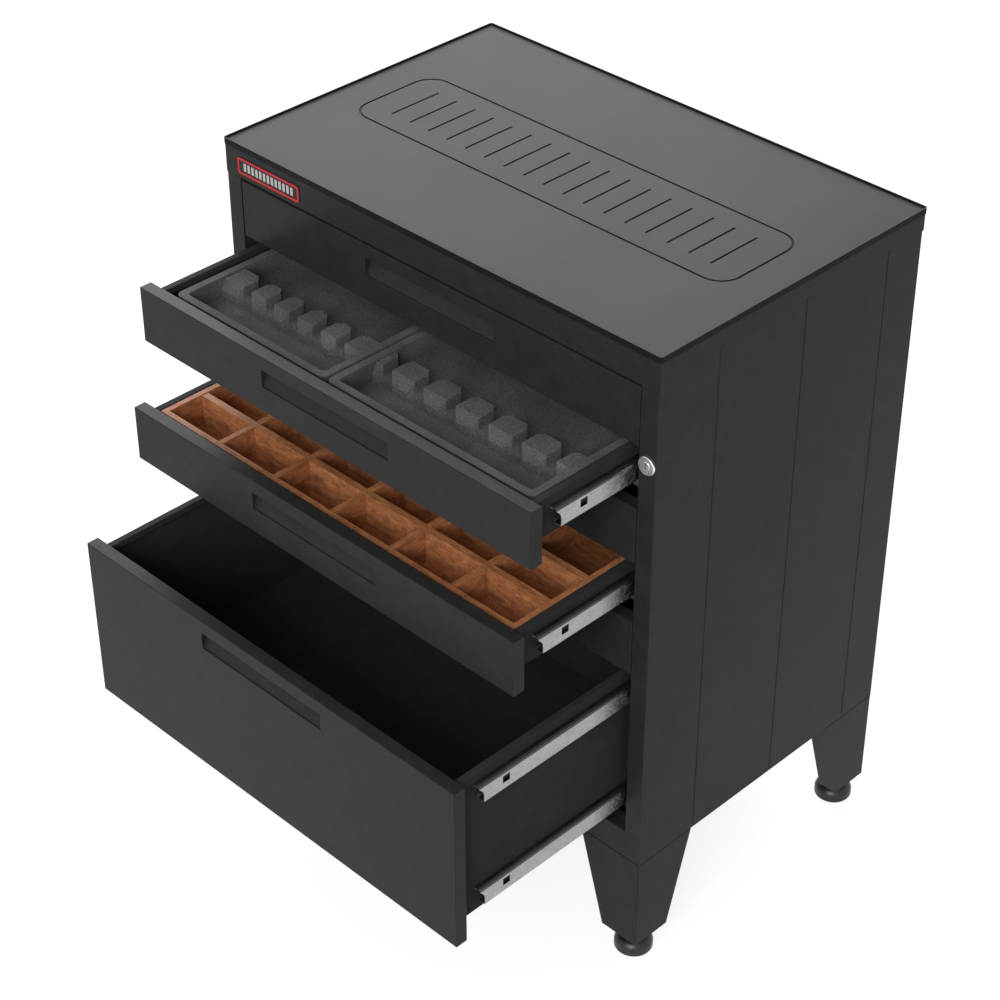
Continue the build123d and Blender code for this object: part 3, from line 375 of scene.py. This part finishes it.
# The finish of each material slot, and of the nodes that differ from their slot
FINISH = {
    "steel_black": COAT,
    "mat_rubber": MAT,
    "badge": ENAMEL,
    "zinc_steel": ZINC,
    "bearing_steel": BRIGHT,
    "galvanised": PLATED,
    "pad_rubber": FOOT,
    "bright_metal": BRIGHT,
    "tray_foam": FOAM,
    "wood_brown": WOOD_X,
}
OWN_FINISH = {
    "wood_tray_walls": WOOD_FRAMED,
    "wood_tray_cross_dividers": WOOD_Y,
    "worktop_tray": RIM_COAT,
}
for number in DRAWERS:
    OWN_FINISH[f"drawer_{number}_body"] = BODY_COAT
slots = {row["node"]: row["material_slot"] for row in frame["record"]["subparts"]}
for name, node in nodes.items():
    node.data.materials.clear()
    node.data.materials.append(OWN_FINISH.get(name, FINISH[slots[name]]))


# Edges of the CAD pieces, with their widths in millimetres
SHEET_EDGE = 0.55
SOFT_EDGES = {
    "worktop_mat": 0.6,
    "tool_tray_left": 1.2,
    "tool_tray_right": 1.2,
    "wood_tray_walls": 0.5,
    "wood_tray_long_dividers": 0.5,
    "wood_tray_cross_dividers": 0.5,
}
WELD_DISTANCE = 0.01
EDGE_SEGMENTS = 2
EDGE_ANGLE = 40


def soften(thing, width):
    """Joins a mesh's split corners and rounds its sharp edges a little."""
    weld = thing.modifiers.new("weld", "WELD")
    weld.merge_threshold = WELD_DISTANCE * MM
    bevel = thing.modifiers.new("soft_edges", "BEVEL")
    bevel.width = width * MM
    bevel.segments = EDGE_SEGMENTS
    bevel.limit_method = "ANGLE"
    bevel.angle_limit = math.radians(EDGE_ANGLE)
    bevel.harden_normals = True


for name, node in nodes.items():
    if slots[name] == "steel_black" or name in SOFT_EDGES:
        soften(node, SOFT_EDGES.get(name, SHEET_EDGE))


# Mesh pieces
MERGE_DISTANCE = 0.002


def mesh_object(name, bm, smooth=None):
    """A linked object from a cleaned bmesh; edges under the angle smooth shade smooth."""
    bmesh.ops.remove_doubles(bm, verts=bm.verts, dist=MERGE_DISTANCE * MM)
    bmesh.ops.recalc_face_normals(bm, faces=bm.faces)
    if smooth is not None:
        for face in bm.faces:
            face.smooth = True
        for edge in bm.edges:
            sharp = len(edge.link_faces) != 2 or edge.calc_face_angle(0) > math.radians(smooth)
            edge.smooth = not sharp
    mesh = bpy.data.meshes.new(name)
    bm.to_mesh(mesh)
    bm.free()
    thing = bpy.data.objects.new(name, mesh)
    scene.collection.objects.link(thing)
    return thing


def piece(name, bm, body, material, smooth, stands_for=()):
    """Turns a bmesh into a piece that rides on a body and stands for the CAD nodes named."""
    thing = mesh_object(name, bm, smooth)
    thing.data.materials.append(material)
    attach(thing, body)
    if stands_for:
        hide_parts(*stands_for)


def rings(bm, rows, closed=False):
    """Skins rows of vertices; a row of one is a pole, and closed joins the last row to the first."""
    pairs = list(zip(rows, rows[1:]))
    if closed:
        pairs.append((rows[-1], rows[0]))
    for low, high in pairs:
        for step in range(max(len(low), len(high))):
            after = step + 1
            low_side = [low[step % len(low)], low[after % len(low)]]
            high_side = [high[after % len(high)], high[step % len(high)]]
            corners = list(dict.fromkeys(low_side + high_side))
            if len(corners) > 2:
                bm.faces.new(corners)


def circle(bm, place, radius, height, steps):
    """A ring of vertices at a height; place gives the frame's point for a local one."""
    angles = [math.tau * step / steps for step in range(steps)]
    points = [place(radius * math.cos(a), radius * math.sin(a), height) for a in angles]
    return [bm.verts.new(point) for point in points]


def spin(bm, profile, steps, place):
    """A turned solid from (radius, height) points; the first and last are on the axis."""
    rows = []
    for radius, height in profile:
        rows.append(circle(bm, place, radius, height, steps if radius > 0 else 1))
    rings(bm, rows)


def arc(centre, radius, start, end, count):
    """Points on an arc, angles in degrees."""
    angles = [math.radians(start + (end - start) * n / count) for n in range(count + 1)]
    return [(centre[0] + radius * math.cos(a), centre[1] + radius * math.sin(a)) for a in angles]


def upright(x, y):
    """Placing for a shape round an upright axis; the shape's sizes are in millimetres."""
    return lambda u, v, w: (x + u * MM, y + v * MM, w * MM)


def facing_front(x, y, z):
    """Placing for a shape that leaves a wall at y towards the front; its sizes are in millimetres."""
    return lambda u, v, w: (x + u * MM, y - w * MM, z + v * MM)


# Levelling feet: turned pads with a grip groove, as (radius, height) points in millimetres
STUD_RADIUS = 5.0
PAD_STEPS = 96
PAD_SMOOTH = 32
PAD_PROFILE = (
    [(0, 0), (20.0, 0), (20.6, 0.6)]
    + arc((22.0, 2.5), 2.5, -75, 0, 6)
    + [(24.5, 5.2), (23.9, 5.7), (23.9, 6.3), (24.5, 6.8), (24.5, 9.4)]
    + arc((11.572, 6.768), 13.326, 14.04, 92, 16)
    + [(10.2, 19.6), (10.0, 19.95), (6.4, 19.95), (5.6, 19.4), (5.06, 18.6), (5.06, 9.94), (0, 9.94)]
)
foot_xs = (STUD_BOX[0][0] + STUD_RADIUS * MM, STUD_BOX[1][0] - STUD_RADIUS * MM)
foot_ys = (STUD_BOX[0][1] + STUD_RADIUS * MM, STUD_BOX[1][1] - STUD_RADIUS * MM)
FEET = [(x, y) for x in foot_xs for y in foot_ys]
for x, y in FEET:
    end = "front" if y < 0 else "rear"
    side = "left" if x < 0 else "right"
    bm = bmesh.new()
    spin(bm, PAD_PROFILE, PAD_STEPS, upright(x, y))
    node_name = f"foot_pad_{end}_{side}"
    piece(f"turned_pad_{end}_{side}", bm, node_name, FOOT, PAD_SMOOTH, [node_name])

# Foot studs with a thread that fades out at both ends, in millimetres
THREAD_PITCH = 1.5
THREAD_ROOT = 4.25
THREAD_CREST = 4.97
THREAD_CHAMFER = 0.5
THREAD_STEPS = 24
THREAD_SMOOTH = 28
ROWS_PER_PITCH = 4
FADE_ROWS = 3
stud_low = STUD_BOX[0][2] / MM
stud_high = STUD_BOX[1][2] / MM
bm = bmesh.new()
for x, y in FEET:
    place = upright(x, y)
    count = int((stud_high - stud_low) / (THREAD_PITCH / ROWS_PER_PITCH))
    rows = [[bm.verts.new(place(0, 0, stud_low))]]
    for row in range(count + 1):
        z = stud_low + (stud_high - stud_low) * row / count
        fade = min(1, row / FADE_ROWS, (count - row) / FADE_ROWS)
        ring = []
        for step in range(THREAD_STEPS):
            turn = (z - stud_low) / THREAD_PITCH - step / THREAD_STEPS
            rise = 1 - abs(2 * (turn % 1) - 1)
            root = THREAD_ROOT - THREAD_CHAMFER * (1 - fade)
            radius = root + (THREAD_CREST - THREAD_ROOT) * rise * fade
            angle = math.tau * step / THREAD_STEPS
            ring.append(bm.verts.new(place(radius * math.cos(angle), radius * math.sin(angle), z)))
        rows.append(ring)
    rows.append([bm.verts.new(place(0, 0, stud_high))])
    rings(bm, rows)
piece("threaded_studs", bm, "cabinet", PLATED, THREAD_SMOOTH, ["foot_studs"])

# Foot nuts, chamfered on both faces, in millimetres
NUT_HEIGHT = 6.0
NUT_ACROSS_FLATS = 16.9
NUT_BORE_RADIUS = 5.05
NUT_SINK = 0.6
NUT_STEPS = 72
NUT_SMOOTH = 25
NUT_CHAMFER_DEPTHS = (0.0, 0.25, 0.6, 1.0)
NUT_CHAMFER_START = 0.96
NUT_CHAMFER_SLOPE = 1.9


def hex_nut(bm, place, low):
    """A hexagonal nut with turned chamfers on both faces and a countersunk bore."""
    high = low + NUT_HEIGHT
    apothem = NUT_ACROSS_FLATS / 2
    levels = [(low + depth, depth) for depth in NUT_CHAMFER_DEPTHS]
    levels += [(high - depth, depth) for depth in reversed(NUT_CHAMFER_DEPTHS)]
    rows = []
    for level, depth in levels:
        ring = []
        for step in range(NUT_STEPS):
            angle = math.tau * step / NUT_STEPS
            flat = apothem / math.cos((angle % (math.pi / 3)) - math.pi / 6)
            radius = min(flat, apothem * NUT_CHAMFER_START + depth * NUT_CHAMFER_SLOPE)
            ring.append(bm.verts.new(place(radius * math.cos(angle), radius * math.sin(angle), level)))
        rows.append(ring)
    bore = NUT_BORE_RADIUS
    mouth = bore + NUT_SINK
    for radius, level in ((mouth, high), (bore, high - NUT_SINK), (bore, low + NUT_SINK), (mouth, low)):
        rows.append(circle(bm, place, radius, level, NUT_STEPS))
    rings(bm, rows, closed=True)


bm = bmesh.new()
for x, y in FEET:
    for low in (NUT_BOX[0][2] / MM, NUT_BOX[1][2] / MM - NUT_HEIGHT):
        hex_nut(bm, upright(x, y), low)
piece("chamfered_nuts", bm, "cabinet", PLATED, NUT_SMOOTH, ["foot_nuts"])

# Back panel screws: domed heads with a cross recess, in millimetres
SCREW_HEAD_RADIUS = 4.5
SCREW_HEAD_HEIGHT = 2.2
SCREW_ROWS = 4
SCREW_STEPS = 40
SCREW_SMOOTH = 30
SCREW_PROFILE = [(0, -5.8), (1.4, -5.8), (1.95, -5.2), (1.95, 0.0), (4.2, 0.0), (4.45, 0.25)]
SCREW_PROFILE += [(4.45, 0.7), (4.2, 1.25), (3.6, 1.7), (2.6, 2.0), (1.4, 2.15), (0, 2.18)]
RECESS_REACH = 2.3
RECESS_HALF_WIDTH = 0.45
RECESS_FLOOR = 0.7
RECESS_TOP = 3.0


def cut(base, cutter):
    """The mesh of one bmesh less another."""
    pair = [mesh_object("cutting", bm) for bm in (base, cutter)]
    boolean = pair[0].modifiers.new("cut", "BOOLEAN")
    boolean.operation = "DIFFERENCE"
    boolean.solver = "EXACT"
    boolean.object = pair[1]
    graph = bpy.context.evaluated_depsgraph_get()
    result = bpy.data.meshes.new_from_object(pair[0].evaluated_get(graph))
    for thing in pair:
        mesh = thing.data
        bpy.data.objects.remove(thing)
        bpy.data.meshes.remove(mesh)
    return result


def box_cutter(low, high):
    """A bmesh of a plain box between two corners, to cut other shapes with."""
    bm = bmesh.new()
    xs, ys, zs = [(first * MM, last * MM) for first, last in zip(low, high)]
    corners = [bm.verts.new((x, y, z)) for x in xs for y in ys for z in zs]
    faces = ((0, 1, 3, 2), (4, 6, 7, 5), (0, 4, 5, 1), (2, 3, 7, 6), (0, 2, 6, 4), (1, 5, 7, 3))
    for face in faces:
        bm.faces.new([corners[index] for index in face])
    return bm


def cross_head_screw():
    """The mesh of one screw, its axis along Y, with the arms of its recess cut one by one."""
    bm = bmesh.new()
    spin(bm, SCREW_PROFILE, SCREW_STEPS, lambda u, v, w: (u * MM, w * MM, v * MM))
    arms = ((RECESS_REACH, RECESS_HALF_WIDTH), (RECESS_HALF_WIDTH, RECESS_REACH))
    for half_x, half_z in arms:
        mesh = cut(bm, box_cutter((-half_x, RECESS_FLOOR, -half_z), (half_x, RECESS_TOP, half_z)))
        bm = bmesh.new()
        bm.from_mesh(mesh)
    bm.free()
    return mesh


screw_mesh = cross_head_screw()
screw_x = SCREW_BOX[1][0] - SCREW_HEAD_RADIUS * MM
screw_y = SCREW_BOX[1][1] - SCREW_HEAD_HEIGHT * MM
screw_low = SCREW_BOX[0][2] + SCREW_HEAD_RADIUS * MM
screw_high = SCREW_BOX[1][2] - SCREW_HEAD_RADIUS * MM
bm = bmesh.new()
for side in (-1, 1):
    for row in range(SCREW_ROWS):
        before = len(bm.verts)
        bm.from_mesh(screw_mesh)
        bm.verts.ensure_lookup_table()
        added = bm.verts[before:]
        z = screw_low + (screw_high - screw_low) * row / (SCREW_ROWS - 1)
        own_turn = 0.5 + 0.9 * row + side
        placing = Matrix.Translation((side * screw_x, screw_y, z)) @ Matrix.Rotation(own_turn, 4, "Y")
        bmesh.ops.transform(bm, matrix=placing, verts=added)
piece("cross_head_screws", bm, "cabinet", PLATED, SCREW_SMOOTH, ["back_panel_screws"])

# Drawer slide members: rolled strip with round bends, a ball race, a notched end and a latch window.
# The section's points are (out, up) in millimetres, from the drawer's side and the strip's middle.
SLIDE_DEPTH = 10.5
SLIDE_HALF_HEIGHT = 13.0
DOUBLE_SLIDE_HEIGHT = 30.0
SLIDE_SMOOTH = 30
STRIP_HALF = 0.6
WEB_OUT = 9.9
WEB_FOOT_UPS = (-9.6, -7.4, -5.2)
WEB_HEAD_UP = 8.3
WINDOW_UPS = (-3.1, -0.6, 1.9, 4.4, 7.0)
LIP_UP = 12.4
LIP_BEND = 1.45
LIP_END_UP = 5.8
RACE_DIP = 0.3
RACE_OUTS = (6.75, 6.45)
UPPER_BEND = 2.6
LOWER_BEND = 0.7
TOLERANCE = 0.1

# Distances along the strip from its front end, and the window's place in their order
NOTCH_CLEAR = 7.0
WINDOW_ALONG = (33.7, 44.7)
MIDDLE_ALONG = 90.0
LAST_STEP = 1.2
WINDOW_STATION = 2

# How far the strip's front end is cut back, as (up, back) points
NOTCH = [
    (-12.4, 4.6), (-6.0, 4.8), (-1.0, 4.6), (1.5, 4.0), (4.0, 2.8),
    (6.5, 1.0), (8.3, -1.2), (9.5, -2.4), (12.4, -2.6),
]

# The latch's outline as (along, up) points, and its layers as (out, grown by)
LATCH_OUTLINE = [
    (30.5, -0.8), (46.5, -0.8), (47.5, 0.2), (47.5, 4.0),
    (46.0, 5.2), (39.0, 6.2), (33.0, 5.8), (30.5, 4.2),
]
LATCH_MIDDLE = (39.2, 2.6)
LATCH_LAYERS = ((5.2, -0.5), (5.6, 0.0), (7.4, 0.0), (7.9, -0.5))

# How far the middle of the slides' darker mottled patch lies behind the slide's front end, but never in
# front of the cabinet
DARK_PATCH_BACK = 120


def strip_path():
    """Middle line of the strip's section, from one lip round the web to the other."""
    race_up = LIP_UP - RACE_DIP
    lip = [(RACE_OUTS[0], race_up), (RACE_OUTS[1], LIP_UP)]
    lip += arc((STRIP_HALF + LIP_BEND, LIP_UP - LIP_BEND), LIP_BEND, 90, 180, 5)
    lip += [(STRIP_HALF, LIP_END_UP)]
    upper = arc((WEB_OUT - UPPER_BEND, race_up - UPPER_BEND), UPPER_BEND, 0, 90, 7) + lip
    lower = arc((WEB_OUT - LOWER_BEND, race_up - LOWER_BEND), LOWER_BEND, 0, 90, 4) + lip
    web = [(WEB_OUT, up) for up in (*WEB_FOOT_UPS, *WINDOW_UPS, WEB_HEAD_UP)]
    return [(out, -up) for out, up in reversed(lower)] + web + upper


def strip_section():
    """The middle line offset to both sides."""
    path = [Vector(point) for point in strip_path()]
    outer = []
    inner = []
    for index, point in enumerate(path):
        before = path[max(index - 1, 0)]
        after = path[min(index + 1, len(path) - 1)]
        along = (after - before).normalized()
        across = Vector((along.y, -along.x))
        outer.append(point + STRIP_HALF * across)
        inner.append(point - STRIP_HALF * across)
    return outer, inner


def notch_at(up):
    """How far the strip's front end is cut back at a height."""
    for (low, first), (high, last) in zip(NOTCH, NOTCH[1:]):
        if up <= high:
            share = max(0.0, (up - low) / (high - low))
            return first + (last - first) * share
    return NOTCH[-1][1]


def slide_member(bm, side, level, front, length, inner_x):
    """One strip on a side (-1 or 1) with its middle at a level; places and length in metres."""
    outer, inner = strip_section()
    count = len(outer)
    stations = [None, NOTCH_CLEAR, *WINDOW_ALONG, MIDDLE_ALONG, length / MM - LAST_STEP, length / MM]
    rows = []
    for station in stations:
        row = []
        for point in outer + inner:
            back = notch_at(point.y) if station is None else station
            x = side * (inner_x + point.x * MM)
            row.append(bm.verts.new((x, front + back * MM, level + point.y * MM)))
        rows.append(row)

    def in_window(index):
        """Whether the section from this point to the next lies on the web, at the window's height."""
        low, high = outer[index:index + 2]
        on_web = min(low.x, high.x) > WEB_OUT + STRIP_HALF - TOLERANCE
        return on_web and low.y > WINDOW_UPS[0] - TOLERANCE and high.y < WINDOW_UPS[-1] + TOLERANCE

    def wall(row, index):
        """A face across the strip's thickness at one station."""
        bm.faces.new((row[index], row[index + 1], row[count + index + 1], row[count + index]))

    window = [index for index in range(count - 1) if in_window(index)]
    for station_index, (here, there) in enumerate(zip(rows, rows[1:])):
        for offset in (0, count):
            for index in range(count - 1):
                if station_index == WINDOW_STATION and index in window:
                    continue
                a = offset + index
                bm.faces.new((here[a], here[a + 1], there[a + 1], there[a]))
        for edge in (0, count - 1):
            bm.faces.new((here[edge], there[edge], there[count + edge], here[count + edge]))
    for index in range(count - 1):
        for row in (rows[0], rows[-1]):
            wall(row, index)
    here, there = rows[WINDOW_STATION:WINDOW_STATION + 2]
    for index in window:
        for row in (here, there):
            wall(row, index)
    for edge in (window[0], window[-1] + 1):
        bm.faces.new((here[edge], there[edge], there[count + edge], here[count + edge]))


def latch(bm, side, level, front, inner_x):
    """The release lever's end that shows in the window: a curved tongue with a raised tip."""
    rows = []
    for out, grow in LATCH_LAYERS:
        row = []
        for along, up in LATCH_OUTLINE:
            y = along + (grow if along > LATCH_MIDDLE[0] else -grow)
            z = up + (grow if up > LATCH_MIDDLE[1] else -grow)
            row.append(bm.verts.new((side * (inner_x + out * MM), front + y * MM, level + z * MM)))
        rows.append(row)
    rings(bm, rows)
    for row in (rows[0], rows[-1]):
        bm.faces.new(row)


for number in DRAWERS:
    body = f"drawer_{number}"
    name = f"drawer_{number}_slides"
    low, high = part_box(name)
    inner_x = high[0] - SLIDE_DEPTH * MM
    levels = [high[2] - SLIDE_HALF_HEIGHT * MM]
    if high[2] - low[2] > DOUBLE_SLIDE_HEIGHT * MM:
        levels.append(low[2] + SLIDE_HALF_HEIGHT * MM)
    members = bmesh.new()
    tongues = bmesh.new()
    for level in levels:
        for side in (-1, 1):
            slide_member(members, side, level, low[1], high[1] - low[1], inner_x)
            latch(tongues, side, level, low[1], inner_x)
    dark_patch_y = max(low[1] + DARK_PATCH_BACK * MM, FRONT_Y)
    # Each drawer's slides get their own material, with painted shade in the bends and a darker mottled
    # patch.
    shaded_slide_zinc = zinc_steel(f"slide_steel_painted_shade_{number}", *ZINC_TONES, dark_patch_y)
    piece(f"drawer_{number}_rolled_slides", members, body, shaded_slide_zinc, SLIDE_SMOOTH, [name])
    piece(f"drawer_{number}_slide_latches", tongues, body, BODY_COAT, SLIDE_SMOOTH)

# Badge: plain bars in the sunk field, in millimetres; the layers are (height, grown by)
FIELD_DEPTH = 0.5
BAR_COUNT = 13
BAR_PITCH = 7.0
BAR_WIDTH = 4.2
BAR_HEIGHT = 10.5
BAR_CORNER = 0.7
BAR_LAYERS = ((0.0, 0.0), (0.25, 0.0), (0.35, -0.12))
BAR_SMOOTH = 30


def rounded_bar(half_width, half_height):
    """Outline of a bar round its middle, one rounded corner after another."""
    outline = []
    for quarter, (across, up) in enumerate(((1, 1), (-1, 1), (-1, -1), (1, -1))):
        centre = (across * (half_width - BAR_CORNER), up * (half_height - BAR_CORNER))
        outline += arc(centre, BAR_CORNER, 90 * quarter, 90 * quarter + 90, 3)
    return outline


badge_middle = (BADGE_BOX[0][0] + BADGE_BOX[1][0]) / 2
badge_level = (BADGE_BOX[0][2] + BADGE_BOX[1][2]) / 2
badge_field_y = BADGE_BOX[0][1] + FIELD_DEPTH * MM
bm = bmesh.new()
for index in range(BAR_COUNT):
    x = badge_middle + (index - (BAR_COUNT - 1) / 2) * BAR_PITCH * MM
    place = facing_front(x, badge_field_y, badge_level)
    rows = []
    for height, grow in BAR_LAYERS:
        outline = rounded_bar(BAR_WIDTH / 2 + grow, BAR_HEIGHT / 2 + grow)
        rows.append([bm.verts.new(place(u, v, height)) for u, v in outline])
    rings(bm, rows)
    bm.faces.new(rows[0])
    bm.faces.new(rows[-1])
piece("badge_bars", bm, "cabinet", PAINT, BAR_SMOOTH)

# Camera, from the fit to the photograph
YAW = math.radians(45.01)
ELEVATION = math.radians(35.59)
ROLL = math.radians(-0.12)
FOCAL_PIXELS = 2457.8
FRAME_PIXELS = 1000
SENSOR = 36.0
CAMERA_AT = (1.74844, -1.71938, 2.24488)
camera_data = bpy.data.cameras.new("camera")
camera_data.sensor_width = SENSOR
camera_data.lens = SENSOR * FOCAL_PIXELS / FRAME_PIXELS
camera = bpy.data.objects.new("camera", camera_data)
scene.collection.objects.link(camera)
back = Vector((
    math.sin(YAW) * math.cos(ELEVATION),
    -math.cos(YAW) * math.cos(ELEVATION),
    math.sin(ELEVATION),
))
across = Vector((math.cos(YAW), math.sin(YAW), 0))
upward = back.cross(across)
right = math.cos(ROLL) * across + math.sin(ROLL) * upward
up = math.cos(ROLL) * upward - math.sin(ROLL) * across
camera.matrix_world = Matrix((
    (right.x, up.x, back.x, CAMERA_AT[0]),
    (right.y, up.y, back.y, CAMERA_AT[1]),
    (right.z, up.z, back.z, CAMERA_AT[2]),
    (0, 0, 0, 1),
))
scene.camera = camera


def seen_share(tree):
    """1 for rays from the camera, in a reflection or through glass, else 0."""
    path = tree.nodes.new("ShaderNodeLightPath")
    share = path.outputs["Is Camera Ray"]
    for other in ("Is Glossy Ray", "Is Transmission Ray"):
        total = tree.nodes.new("ShaderNodeMath")
        total.operation = "MAXIMUM"
        tree.links.new(share, total.inputs[0])
        tree.links.new(path.outputs[other], total.inputs[1])
        share = total.outputs["Value"]
    return share


# World: white where it is seen, a softer white as the light
WORLD_LIGHT = 0.46
WORLD_SEEN = 1.0
world = bpy.data.worlds.new("studio")
scene.world = world
world.use_nodes = True
sky = world.node_tree.nodes["Background"]
sky.inputs["Color"].default_value = (1, 1, 1, 1)
strength = world.node_tree.nodes.new("ShaderNodeMapRange")
world.node_tree.links.new(seen_share(world.node_tree), strength.inputs["Value"])
strength.inputs["To Min"].default_value = WORLD_LIGHT
strength.inputs["To Max"].default_value = WORLD_SEEN
world.node_tree.links.new(strength.outputs["Result"], sky.inputs["Strength"])

# Floor: pale, with a soft glow where it is seen, so that it reads white but keeps its shadow
FLOOR_SIZE = 60
FLOOR_TONE = 0.26
FLOOR_GLOW = 0.84
bpy.ops.mesh.primitive_plane_add(size=FLOOR_SIZE)
floor = bpy.context.object
floor.name = "floor"
pale = Surface("floor_white", Roughness=0.9, Specular_IOR_Level=0.0)
cloud = pale.noise(0.7, 2)
pale.link(pale.ramp(cloud, [(0.3, FLOOR_TONE - 0.01), (0.7, FLOOR_TONE + 0.01)]), "Base Color")
pale.shader.inputs["Emission Color"].default_value = (1, 1, 1, 1)
pale.link(pale.spread(seen_share(pale.tree), 0, 1, 0.0, FLOOR_GLOW), "Emission Strength")
floor.data.materials.append(pale.material)

# Lamps
LAMP_AIM = Vector((0, 0, 0.6))


def softbox(name, place, size, power):
    """A square area lamp that looks at the cabinet."""
    data = bpy.data.lights.new(name, "AREA")
    data.shape = "SQUARE"
    data.size = size
    data.energy = power
    lamp = bpy.data.objects.new(name, data)
    scene.collection.objects.link(lamp)
    lamp.location = place
    lamp.rotation_mode = "QUATERNION"
    lamp.rotation_quaternion = (Vector(place) - LAMP_AIM).to_track_quat("Z", "Y")


softbox("back_softbox", (-2.2, 1.8, 2.55), 2.5, 114)
softbox("front_softbox", (2.2, -4.1, 3.0), 2.6, 205)

scene.view_settings.view_transform = "Standard"
